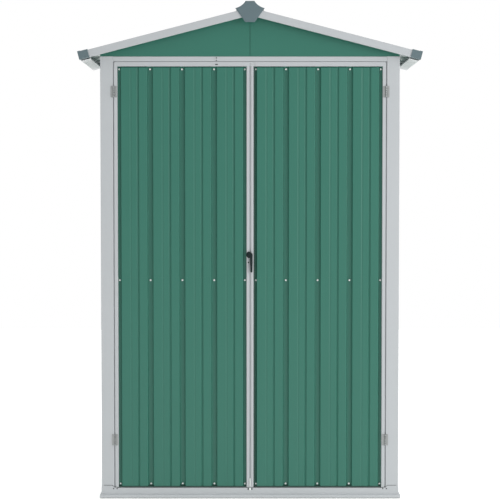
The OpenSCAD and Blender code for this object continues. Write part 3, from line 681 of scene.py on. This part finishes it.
# Doors
# Each door is a green roll-formed sheet in a frame of light grey folded strips: a hinge stile, a
# top rail, channels behind the sheet, and where the doors meet a grooved closing strip on the left.
DOOR_Z = [corner.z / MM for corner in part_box("left_door_hinge_stile")]
DOOR_SHEET_Z = [corner.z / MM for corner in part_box("left_door_panel")]
DOOR_OUT = -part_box("left_door_hinge_stile")[0].x / MM
SHEET_OUT = -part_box("left_door_panel")[0].x / MM
STILE_FACE = DOOR_OUT - SHEET_OUT
STRIP_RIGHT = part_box("left_door_closing_strip")[1].x / MM
STRIP_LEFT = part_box("left_door_panel")[1].x / MM
RIGHT_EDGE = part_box("right_door_panel")[0].x / MM
DOOR_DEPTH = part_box("left_door_closing_strip")[1].y / MM + HALF_D
STRIP_GROOVE = 7.0
STRIP_GROOVE_DEPTH = 5.0
STRIP_TIP_DEPTH = 1.5
EDGE_VALLEY = 2.0
LEFT_SEED, RIGHT_SEED = 11, 17

# A door's outer valleys lie a little inside the edges of its sheet
first_valley = SHEET_OUT - EDGE_VALLEY
valleys_width = first_valley + STRIP_LEFT - EDGE_VALLEY
door_bays = round(valleys_width / WALL_PITCH)
door_pitch = valleys_width / door_bays
for body, start, end, zero, seed in (
        ("left_door", -EDGE_VALLEY, STRIP_LEFT + first_valley, -first_valley, LEFT_SEED),
        ("right_door", RIGHT_EDGE - first_valley, EDGE_VALLEY, first_valley, RIGHT_SEED)):
    line = roll_formed(start, end, door_pitch) + (zero, SHEET_RECESS)
    grid = sheet_grid(line, *SIDES["front"], UP, DOOR_SHEET_Z, seed, LAP_Z)
    sheet = strip_piece(f"{body}_sheet", grid, [green_steel, back_coat])
    fixed(sheet, body, "green_steel", f"{body}_panel")

stile_line = fold(
    [(0, 0), (STILE_FACE, 0), (STILE_FACE, SEAT), (STILE_FACE + LEDGE, SEAT)], STRIP_BEND)
strip_width = STRIP_RIGHT - STRIP_LEFT
groove_from = (strip_width - STRIP_GROOVE) / 2


def grooved(depth):
    """Face of the closing strip: two flats beside a groove of this depth."""
    return [(0, 0), (groove_from, 0), (groove_from, depth), (groove_from + STRIP_GROOVE, depth),
            (groove_from + STRIP_GROOVE, 0), (strip_width, 0)]


closing_line = fold([
    (0, DOOR_DEPTH), *grooved(STRIP_GROOVE_DEPTH), (strip_width, SEAT),
    (strip_width + LEDGE, SEAT)], STRIP_BEND)
meeting_line = fold([(LEDGE, SEAT), (0, SEAT), (0, DOOR_DEPTH)], STRIP_BEND)
# The folds of the stiles end under the top rail, and only their faces reach the top
stile_z, tip_z = (DOOR_Z[0], DOOR_SHEET_Z[1]), (DOOR_SHEET_Z[1], DOOR_Z[1])
stile_tip = np.array([(0, 0), (STILE_FACE, 0)])
strip_tip = fold(grooved(STRIP_TIP_DEPTH), STRIP_BEND)
for body, name, line, tip, wall, edge, way in (
        ("left_door", "hinge_stile", stile_line, stile_tip, STRIP_WALL, -DOOR_OUT, 1),
        ("right_door", "hinge_stile", stile_line, stile_tip, STRIP_WALL, DOOR_OUT, -1),
        ("left_door", "closing_strip", closing_line, strip_tip, STRIP_WALL, STRIP_RIGHT, -1),
        ("right_door", "meeting_stile", meeting_line, None, -STRIP_WALL, RIGHT_EDGE, 1)):
    stretches = [(line, stile_z)] if tip is None else [(line, stile_z), (tip, tip_z)]
    grids = [carried(walled(run_line, wall), (edge, -HALF_D, 0), (way, 0, 0), INWARD, UP, run)
             for run_line, run in stretches]
    grey_strip(f"{body}_{name}", body, *map(as_shell, grids))

finish_nodes(light_grey_steel, "left_door_rails", "right_door_rails")

# Door seals in painted gap shade, and edgings
# Soft strips of dark green rubber, pushed onto the closing strip's edge and under the sheets, close
# the gaps there. Their dark green is painted shade, as dark as the shade in those gaps. Edgings of
# light grey steel, fixed round the stiles, the top rails and the closing strip's ends, narrow the
# others.
# Painted shade: the seal green stands for the shade in the gaps the seals fill
GAP_SHADE_GREEN = "#3D5750"
GAP_SHADE_GREEN_DARK = "#38514A"
SEAL_FRONT = 3.0
SEAL_BACK = 5.0
EDGING_FRONT = 0.2
EDGING_W = 2.3
HEAD_PLAY = 1.5
SEAL_PLAY = 1.0

gap_shade_rubber = moulded_plastic(
    "Dark green rubber, painted gap shade", GAP_SHADE_GREEN, GAP_SHADE_GREEN_DARK,
    roughness=0.6, shine=0.2, grain_mm=2, grain_strength=0.1)
seal_face, seal_rear = SEAL_FRONT - HALF_D, SEAL_BACK - HALF_D
sweep_low, sweep_top = BASE_H + SEAL_PLAY, DOOR_SHEET_Z[0]
parting_end = RIGHT_EDGE - SEAL_PLAY
parting = box_grid((STRIP_RIGHT, seal_face, DOOR_Z[0]), (parting_end, seal_rear, DOOR_SHEET_Z[1]))
left_sweep = box_grid((-SHEET_OUT, seal_face, sweep_low), (STRIP_LEFT, seal_rear, sweep_top))
right_sweep = box_grid((RIGHT_EDGE, seal_face, sweep_low), (SHEET_OUT, seal_rear, sweep_top))
for body, grids in (("left_door", (parting, left_sweep)), ("right_door", (right_sweep,))):
    seal = new_piece(f"{body}_gap_shade_seals", *joined(*map(as_shell, grids)), [gap_shade_rubber])
    fixed(seal, body, "black_plastic")
edging_face = EDGING_FRONT - HALF_D
foot_span, head_span = (sweep_low, DOOR_Z[0]), (DOOR_Z[1], HEADER_LOW - HEAD_PLAY)
for body, spans in (
        ("left_door", ((-DOOR_OUT, -SHEET_OUT, foot_span), (STRIP_LEFT, STRIP_RIGHT, foot_span),
                       (STRIP_RIGHT, parting_end, tip_z), (-DOOR_OUT, parting_end, head_span),
                       (-DOOR_OUT - EDGING_W, -DOOR_OUT, DOOR_Z))),
        ("right_door", ((SHEET_OUT, DOOR_OUT, foot_span), (RIGHT_EDGE, DOOR_OUT, head_span),
                        (DOOR_OUT, DOOR_OUT + EDGING_W, DOOR_Z)))):
    grids = [box_grid((left, edging_face, low), (right, seal_rear, high))
             for left, right, (low, high) in spans]
    edging = new_piece(f"{body}_edging", *joined(*map(as_shell, grids)), [light_grey_steel])
    fixed(edging, body, "light_grey_steel")

# Hinges
# Four butt hinges of zinc plated steel: flat leaves, riveted to the posts and to the stiles, are
# rolled into five knuckles about a pin, three on the post and two on the door.
ZINC = "#9C9F9F"
ZINC_SHADE = "#8A8D8D"
HINGE_X = (TAB_IN + DOOR_OUT) / 2
HINGE_Z = (208.0, 1435.0)
HINGE_H = 40.0
KNUCKLES = 5
KNUCKLE_R = 3.0
KNUCKLE_PLAY = 0.3
KNUCKLE_ROUND = 1.2
PIN_OUT = HALF_D + 3.2
LEAF_FROM = 3.4
LEAF_TO = 11.0
LEAF_T = 1.2
LEAF_ROUND = 2.0
LEAF_EDGE = 0.4
TONGUE_OVER = 0.6
TONGUE_ROUND = 0.3
TONGUE_EDGE = 0.2
RIVET_RINGS = [(1.5, 0), (1.5, 0.2), (1.1, 0.6), (0, 0.75)]
RIVET_RISE = 11.5
SEGMENTS = 12
MOTTLE_MM = 7
ZINC_SPREAD = 0.08


def plated_steel(name, colour, shade, roughness):
    """Zinc plated steel: a dull silver metal with a mottled, slightly cloudy passivation."""
    material, tree, output, place = new_material(name)
    mottle = noise(tree, place, MOTTLE_MM, detail=4)
    tone = blend(tree, mottle, linear(shade), linear(colour))
    gloss = spread(tree, mottle, roughness - ZINC_SPREAD, roughness + ZINC_SPREAD)
    metal = add(tree, "ShaderNodeBsdfPrincipled", {
        "Base Color": tone, "Roughness": gloss, "Metallic": 1.0})
    tree.links.new(metal.outputs["BSDF"], output.inputs["Surface"])
    return material


zinc_steel = plated_steel("Zinc plated steel, passivated", ZINC, ZINC_SHADE, roughness=0.42)


def arc(centre, radius, start, end, steps):
    """Points on a circle from one angle to another, in degrees."""
    angle = np.radians(np.linspace(start, end, steps + 1))
    return np.asarray(centre, float) + radius * np.stack([np.cos(angle), np.sin(angle)], 1)


def rounded_edge(low, high, radius, steps=5):
    """Insets and heights of a slab whose outer edge is a quarter round."""
    angle = np.linspace(0, math.pi / 2, steps + 1)
    insets, heights = radius * (1 - np.cos(angle)), high - radius * (1 - np.sin(angle))
    return [(0, low), *zip(insets.tolist(), heights.tolist())]


def turned(rings, centres, across=ACROSS, up=UP, out=OUT, hexed=slice(0)):
    """Turned pieces on one face: rings of a radius at a height about each centre. The hexed
    rings follow a hexagon, whose radius shrinks from its corners to its flats by the cosine."""
    rings = np.asarray(rings, float)
    angle = np.arange(SEGMENTS) * 2 * math.pi / SEGMENTS
    radius = np.repeat(rings[:, :1], SEGMENTS, 1)
    radius[hexed] *= np.where(np.arange(SEGMENTS) % 2, math.cos(math.pi / 6), 1)
    spokes = np.cos(angle)[:, None] * across + np.sin(angle)[:, None] * up
    one = radius[..., None] * spokes + rings[:, 1, None, None] * out
    points = np.asarray(centres, float)[:, None, None] + one
    index = np.arange(points[..., 0].size).reshape(points.shape[:3])
    index = np.concatenate([index, index[:, :, :1]], 2)
    return points.reshape(-1, 3), np.concatenate([quads(piece) for piece in index]).tolist()


def rounded_plate(half, corner):
    """Outline of a plate from its half sizes, with an arc at each corner."""
    x, z = half[0] - corner, half[1] - corner
    centres = (x, z), (-x, z), (-x, -z), (x, -z)
    return np.concatenate([arc(centre, corner, 90 * count, 90 * count + 90, steps=5)
                           for count, centre in enumerate(centres)])


knuckle_h = HINGE_H / KNUCKLES
ends = KNUCKLE_PLAY / 2, knuckle_h - KNUCKLE_PLAY / 2
inner_r = KNUCKLE_R - KNUCKLE_ROUND
knuckle_rings = [
    (0, ends[0]), (inner_r, ends[0]), (KNUCKLE_R, ends[0] + KNUCKLE_ROUND),
    (KNUCKLE_R, ends[1] - KNUCKLE_ROUND), (inner_r, ends[1]), (0, ends[1])]
leaf_half = ((LEAF_TO - LEAF_FROM) / 2, HINGE_H / 2)
tongue_half = (LEAF_FROM / 2 + TONGUE_OVER, knuckle_h / 2 - KNUCKLE_PLAY)
leaf_middle = (LEAF_FROM + LEAF_TO) / 2
leaf_outline, leaf_steps = rounded_plate(leaf_half, LEAF_ROUND), rounded_edge(0, LEAF_T, LEAF_EDGE)
tongue_outline = rounded_plate(tongue_half, TONGUE_ROUND)
tongue_steps = rounded_edge(0, LEAF_T, TONGUE_EDGE)
rivet_z = np.add.outer(HINGE_Z, (-RIVET_RISE, RIVET_RISE)).ravel()
for hand, way in (("left", -1), ("right", 1)):
    pin_x = way * HINGE_X
    for owner, body, side, first in (("post", "shed", 1, 0), ("door", f"{hand}_door", -1, 1)):
        parts = []
        toward = way * side
        leaf_x = pin_x + toward * leaf_middle
        for z in HINGE_Z:
            parts.append(slab(leaf_outline, leaf_steps, (leaf_x, -HALF_D, z)))
            lows = z - HINGE_H / 2 + knuckle_h * np.arange(first, KNUCKLES, 2)
            feet = [(pin_x, -PIN_OUT, low) for low in lows]
            parts.append(turned(knuckle_rings, feet, ACROSS, INWARD, UP))
            for low in lows:
                middle = (pin_x + toward * LEAF_FROM / 2, -HALF_D, low + knuckle_h / 2)
                parts.append(slab(tongue_outline, tongue_steps, middle))
        node = f"{hand}_hinge_post_leaves" if owner == "post" else f"{hand}_door_hinge_leaves"
        leaves = new_piece(f"{node}_rolled", *joined(*parts), [zinc_steel])
        fixed(leaves, body, "zinc_steel", node)
        spots = [(leaf_x, -HALF_D - LEAF_T, z) for z in rivet_z]
        rivets = new_piece(f"{hand}_{owner}_rivets", *turned(RIVET_RINGS, spots), [zinc_steel])
        fixed(rivets, body, "zinc_steel")

# Handle
# A black moulded rosette, a little taller than wide, is screwed to the closing strip, and a lever of
# the same plastic hangs down from the spindle in its middle. Both have edges rounded in the mould.
BLACK = "#142122"
BLACK_SHADE = "#101B1C"
HANDLE_PLACE = np.array([-4.0, -HALF_D, 863.0])
ROSETTE_R = 9.0
ROSETTE_POINT = 0.6
ROSETTE_TALL = 1.25
ROSETTE_T = 4.0
ROSETTE_EDGE = 1.4
ROSETTE_STEP = 7.5
SPINDLE_R = 3.0
SPINDLE_LAP = 1.0
SPINDLE_SEGMENTS = 24
HUB_R = 7.0
ARM_HALF = 6.0
LEVER_X = 9.0
LEVER_LEN = 62.0
LEVER_TOP_HALF = 4.5
LEVER_END_R = 3.6
LEVER_CORNER = 4.0
LEVER_T = 6.0
LEVER_EDGE = 1.8
LEVER_GAP = 1.5

black_plastic = moulded_plastic(
    "Black polyamide, moulded", BLACK, BLACK_SHADE,
    roughness=0.45, shine=0.2, grain_mm=2, grain_strength=0.2)
# The outline is the larger of a circle and a square that stands on its corner
angle = np.radians(np.arange(0, 360, ROSETTE_STEP))
square_r = (ROSETTE_R + ROSETTE_POINT) / (np.abs(np.cos(angle)) + np.abs(np.sin(angle)))
rosette_outline = np.maximum(ROSETTE_R, square_r)[:, None] * np.stack(
    [np.cos(angle), ROSETTE_TALL * np.sin(angle)], 1)
hub_angle = math.degrees(math.asin(ARM_HALF / HUB_R))
lever_outline = np.concatenate([
    arc((0, 0), HUB_R, hub_angle, 360 - hub_angle, steps=20),
    arc((LEVER_X, LEVER_END_R - LEVER_LEN), LEVER_END_R, 180, 360, steps=10),
    arc((LEVER_X + LEVER_TOP_HALF - LEVER_CORNER, ARM_HALF - LEVER_CORNER), LEVER_CORNER,
        0, 90, steps=6)])
lever_low = ROSETTE_T + LEVER_GAP
spindle_outline = arc((0, 0), SPINDLE_R, 0, 360 - 360 / SPINDLE_SEGMENTS, SPINDLE_SEGMENTS - 1)
spindle_steps = [(0, ROSETTE_T - SPINDLE_LAP), (0, lever_low + SPINDLE_LAP)]
lever_steps = rounded_edge(lever_low, lever_low + LEVER_T, LEVER_EDGE)
rosette_steps = rounded_edge(0, ROSETTE_T, ROSETTE_EDGE)
rosette = new_piece("handle_rosette_moulding", *slab(
    rosette_outline, rosette_steps, HANDLE_PLACE), [black_plastic])
fixed(rosette, "left_door", "black_plastic", "handle_rosette")
lever = new_piece("handle_lever_moulding", *joined(
    slab(spindle_outline, spindle_steps, HANDLE_PLACE),
    slab(lever_outline, lever_steps, HANDLE_PLACE)), [black_plastic])
fixed(lever, "handle", "black_plastic", "handle_lever")

# Sheet screws
# Self-drilling screws of steel with a light coat, with hexagon heads on pressed washers, hold the
# sheets to the rails behind them, one in each valley at the top, the middle and the bottom.
SCREW_ROWS = (50.0, 773.0, 1514.0)
SCREW_LIGHT = "#E9EEEC"
SCREW_SHADE = "#DDE3E1"
SCREW_RINGS = [(3.4, 0.0), (3.4, 0.6), (2.9, 0.8), (2.9, 4.6), (2.4, 5.0), (0.0, 5.0)]
HEX_RINGS = slice(2, 5)
EDGE_INSET = 6.0
MEETING_INSET = 3.4

screw_steel = coated_steel("Light coated screw steel", SCREW_LIGHT, SCREW_SHADE, roughness=0.4)
floor_depth = SHEET_RECESS + VALLEY_DEPTH


def valley_screws(places, side):
    """Screws at every row's height and every valley's place on one side of the body."""
    place, across, inward = (np.asarray(way, float) for way in SIDES[side])
    spots = place + places[:, None] * across + floor_depth * inward
    centres = (spots[None] + np.array(SCREW_ROWS)[:, None, None] * np.asarray(UP)).reshape(-1, 3)
    return turned(SCREW_RINGS, centres, across, UP, -inward, HEX_RINGS)


inner = np.arange(1, door_bays) * door_pitch
outer = SHEET_OUT - EDGE_INSET
left_places = np.concatenate([[-outer], inner - first_valley, [STRIP_LEFT - EDGE_INSET]])
right_places = np.concatenate([[RIGHT_EDGE + MEETING_INSET], first_valley - inner[::-1], [outer]])
for body, places in (("left_door", left_places), ("right_door", right_places)):
    group = new_piece(f"{body}_screws", *valley_screws(places, "front"), [screw_steel])
    fixed(group, body, "zinc_steel")

wall_groups = []
for side, width in WALL_WIDTHS.items():
    count = round(width / WALL_PITCH)
    places = np.arange(count + 1) * width / count - width / 2
    places[0] += EDGE_INSET
    places[-1] -= EDGE_INSET
    wall_groups.append(valley_screws(places, side))
group = new_piece("wall_screws", *joined(*wall_groups), [screw_steel])
fixed(group, "shed", "zinc_steel")

# Bolts and small fixings
# A bright drop bolt in the closing strip's groove goes into a keeper on the base, and a slide on the
# top rail locks into a catch on the header. Blackened screws hold them and the base beside its tabs,
# and a dark grey bead is drawn along the edges of the tabs as a painted shadow of the seam there.
BOLT_RINGS = [(0, 0), (2.6, 0.3), (2.6, 25), (2.0, 27), (0, 27.6)]
BOLT_FOOT = (0.1, -HALF_D + 0.6, DOOR_Z[0])
KEEPER_MIDDLE = (0.1, -HALF_D - STRIP_WALL, 32.8)
KEEPER_HALF = (3.0, 4.8)
KEEPER_T, KEEPER_EDGE = 2.4, 1.2
KEEPER_X = (-6.2, 6.6)
KEEPER_Z = 32.6
CATCH_MIDDLE = (-115.0, -HALF_D, 1549.3)
CATCH_HALF = (8.0, 8.0)
CATCH_T, CATCH_EDGE = 1.2, 0.5
CATCH_SCREWS = ((-117.6, 1552.6), (-117.6, 1543.8))
SLIDE_MIDDLE = (-117.2, -HALF_D, 1530.0)
SLIDE_HALF = (4.6, 1.6)
SLIDE_T, SLIDE_EDGE = 1.4, 0.6
PLATE_CORNER = 1.5
TAB_SCREW_X = (470.5, 483.0)
TAB_SCREW_Z = 34.0
STRIP_SCREW = (-5.3, -HALF_D, 836.0)
DARK_SCREW_RINGS = [(2.8, 0), (2.8, 0.3), (2.0, 0.9), (0, 1.1)]
CATCH_SCREW_RINGS = [(2.1, 0), (2.1, 0.3), (1.5, 0.8), (0, 1.0)]
TAB_Z = BASE_H + TAB_RISE
BEAD = 1.2
BEAD_INSET = 8.0
BEAD_TAIL = 4.0
BEAD_BEND = 4.0
# Painted shadow: the bead's dark grey stands for the shadow in the seam along each tab's edge
SEAM_SHADOW_GREY = "#3C4142"
SEAM_SHADOW_GREY_DARK = "#34393A"
BLACKENED = "#2F3334"
BLACKENED_SHADE = "#262A2B"

blackened_steel = coated_steel(
    "Blackened screw steel", BLACKENED, BLACKENED_SHADE, roughness=0.5)
seam_shadow_paint = moulded_plastic(
    "Dark grey bead, painted seam shadow", SEAM_SHADOW_GREY, SEAM_SHADOW_GREY_DARK,
    roughness=0.6, shine=0.2, grain_mm=2, grain_strength=0.2)

bolt = new_piece("drop_bolt", *turned(BOLT_RINGS, [BOLT_FOOT], ACROSS, INWARD, UP), [screw_steel])
fixed(bolt, "left_door", "zinc_steel")
for name, body, finish, material, middle, half, steps in (
        ("header_catch", "shed", "light_grey_steel", light_grey_steel, CATCH_MIDDLE, CATCH_HALF,
         rounded_edge(0, CATCH_T, CATCH_EDGE)),
        ("top_slide", "left_door", "zinc_steel", blackened_steel, SLIDE_MIDDLE, SLIDE_HALF,
         rounded_edge(0, SLIDE_T, SLIDE_EDGE)),
        ("bolt_keeper", "shed", "zinc_steel", screw_steel, KEEPER_MIDDLE, KEEPER_HALF,
         rounded_edge(0, KEEPER_T, KEEPER_EDGE))):
    plate = new_piece(name, *slab(rounded_plate(half, PLATE_CORNER), steps, middle), [material])
    fixed(plate, body, finish)
base_face = -HALF_D - STRIP_WALL
keeper_screws = [(x, base_face, KEEPER_Z) for x in KEEPER_X]
catch_screws = [(x, -HALF_D - CATCH_T, z) for x, z in CATCH_SCREWS]
tab_screws = [(way * x, base_face, TAB_SCREW_Z) for way in (-1, 1) for x in TAB_SCREW_X]
small = new_piece("catch_and_keeper_screws", *joined(
    turned(DARK_SCREW_RINGS, keeper_screws),
    turned(CATCH_SCREW_RINGS, catch_screws + tab_screws)), [blackened_steel])
fixed(small, "shed", "zinc_steel")
small = new_piece("strip_screw", *turned(DARK_SCREW_RINGS, [STRIP_SCREW]), [blackened_steel])
fixed(small, "left_door", "zinc_steel")

# A bead of painted seam shadow along the top and sloping edges of each tab
bead_line = fold([
    (-HALF_W + BEAD_INSET, TAB_Z), (-TAB_IN - TAB_RISE, TAB_Z), (-TAB_IN, BASE_H),
    (-TAB_IN + BEAD_TAIL, BASE_H)], BEAD_BEND)
beads = []
for mirror in (1, -1):
    face, beside = (np.insert(line * (mirror, 1), 1, base_face, axis=1)
                    for line in (bead_line, moved_aside(bead_line, BEAD)))
    # Three lines along the bead: its two edges on the plate and its crest between them
    crest = (face + beside) / 2 - (0, BEAD / 2, 0)
    bead_points = np.stack([face, crest, beside])
    bead_index = np.arange(bead_points[..., 0].size).reshape(bead_points.shape[:2])
    beads.append((bead_points, quads(np.concatenate([bead_index, bead_index[:1]])).tolist()))
bead = new_piece("tab_seam_shadow_beads", *joined(*beads), [seam_shadow_paint])
fixed(bead, "shed", "black_plastic")

# Floor and light
# A plain pale floor, a white surround that is brighter above and at both sides, like large soft
# boxes of which the right one is stronger, and one soft lamp from the right.
FLOOR_HALF = 6.0
FLOOR_DROP = 0.0003
FLOOR_COLOUR = "#F1F1EF"
FLOOR_LIFT = 0.62
FLOOR_FILL = 0.45
# Painted contact shade: the floor's glow fades in over this band, in mm outside the footprint
CONTACT_SHADE_BAND = (4.0, 12.0)
SURROUND = 0.69
FRONT_LEVEL = 0.2
TOP_FROM = 0.25
TOP_LEVEL = 0.8
SIDE_LEVEL = 2.4
RIGHT_MORE = 0.25
KEY_PLACE = (3.0, -2.6, 1.6)
KEY_AIM = (0.0, -0.1, 0.85)
KEY_SIZE = 2.2
KEY_POWER = 48.0

floor_mesh = bpy.data.meshes.new("floor")
floor_mesh.from_pydata([
    (x * FLOOR_HALF, y * FLOOR_HALF, -FLOOR_DROP) for x, y in ((-1, -1), (1, -1), (1, 1), (-1, 1))],
    [], [(0, 1, 2, 3)])
floor = bpy.data.objects.new("floor", floor_mesh)
bpy.context.scene.collection.objects.link(floor)


def seen_directly(tree):
    """One where the camera, a reflection or a refraction looks, nothing for light that scatters."""
    path = add(tree, "ShaderNodeLightPath", {}).outputs
    mirrored = reckoned(tree, "MAXIMUM", path["Is Camera Ray"], path["Is Glossy Ray"])
    return reckoned(tree, "MAXIMUM", mirrored, path["Is Transmission Ray"])


floor_paint, tree, output, place = new_material("Pale matt floor")
matt = add(tree, "ShaderNodeBsdfDiffuse", {"Color": linear(FLOOR_COLOUR)})
lift = spread(tree, seen_directly(tree), FLOOR_FILL, FLOOR_LIFT)
# The lift stops at the shed, so that no light comes from the ground inside it. It fades in from 4 to
# 12 mm outside the footprint, which leaves a narrow band of floor round the base's foot darker than
# the rest: painted contact shade on top of the real one.
apart = add(tree, "ShaderNodeSeparateXYZ", {"Vector": place}).outputs
beyond = [reckoned(tree, "SUBTRACT", reckoned(tree, "ABSOLUTE", apart[axis]), half * MM)
          for axis, half in (("X", HALF_W), ("Y", HALF_D))]
clear = add(tree, "ShaderNodeMapRange", {
    "Value": reckoned(tree, "MAXIMUM", *beyond),
    "From Min": CONTACT_SHADE_BAND[0] * MM, "From Max": CONTACT_SHADE_BAND[1] * MM}).outputs["Result"]
glow = add(tree, "ShaderNodeEmission", {"Strength": reckoned(tree, "MULTIPLY", lift, clear)})
both = add(tree, "ShaderNodeAddShader", {0: matt.outputs[0], 1: glow.outputs[0]})
tree.links.new(both.outputs[0], output.inputs["Surface"])
floor_mesh.materials.append(floor_paint)

world = bpy.data.worlds.new("White studio")
bpy.context.scene.world = world
world.use_nodes = True
tree = world.node_tree
tree.nodes.clear()
heading = add(tree, "ShaderNodeTexCoord", {}).outputs["Generated"]
apart = add(tree, "ShaderNodeSeparateXYZ", {"Vector": heading}).outputs
overhead = add(tree, "ShaderNodeMapRange", {
    "Value": apart["Z"], "From Min": TOP_FROM,
    "To Min": FRONT_LEVEL, "To Max": TOP_LEVEL}).outputs["Result"]
slanted = reckoned(tree, "MULTIPLY_ADD", apart["X"], SIDE_LEVEL, RIGHT_MORE)
boxes = reckoned(tree, "MULTIPLY_ADD", slanted, apart["X"], overhead)
dimmed = reckoned(tree, "MULTIPLY", boxes, SURROUND)
level = add(tree, "ShaderNodeMix", {
    "Factor": seen_directly(tree), 2: dimmed, 3: 1.0}, data_type="FLOAT").outputs[0]
sky = add(tree, "ShaderNodeBackground", {"Strength": level, "Color": (1, 1, 1, 1)})
add(tree, "ShaderNodeOutputWorld", {"Surface": sky.outputs[0]})


def aimed(obj, place, aim):
    """Stands a lamp or a camera at a place and turns its view to another."""
    way = np.subtract(aim, place)
    obj.location = place
    tilt = math.atan2(math.hypot(way[0], way[1]), -way[2])
    obj.rotation_euler = (tilt, 0, math.atan2(-way[0], way[1]))
    bpy.context.scene.collection.objects.link(obj)


key = bpy.data.lights.new("key", "AREA")
key.shape = "SQUARE"
key.size = KEY_SIZE
key.energy = KEY_POWER
aimed(bpy.data.objects.new("key", key), KEY_PLACE, KEY_AIM)

# Camera
# A long lens about 5 m in front of the doors and square to them. It stands at the height of a
# chest and looks down very little.
CAMERA_PLACE = (0.0, -5.289, 1.091)
CAMERA_DIP = math.radians(2.373)
CAMERA_LENS = 104.3
CAMERA_SENSOR = 36.0

lens = bpy.data.cameras.new("camera")
lens.lens = CAMERA_LENS
lens.sensor_width = CAMERA_SENSOR
camera = bpy.data.objects.new("camera", lens)
aim_z = CAMERA_PLACE[2] + CAMERA_PLACE[1] * math.tan(CAMERA_DIP)
aimed(camera, CAMERA_PLACE, (0.0, 0.0, aim_z))
bpy.context.scene.camera = camera
bpy.context.scene.view_settings.view_transform = "Standard"
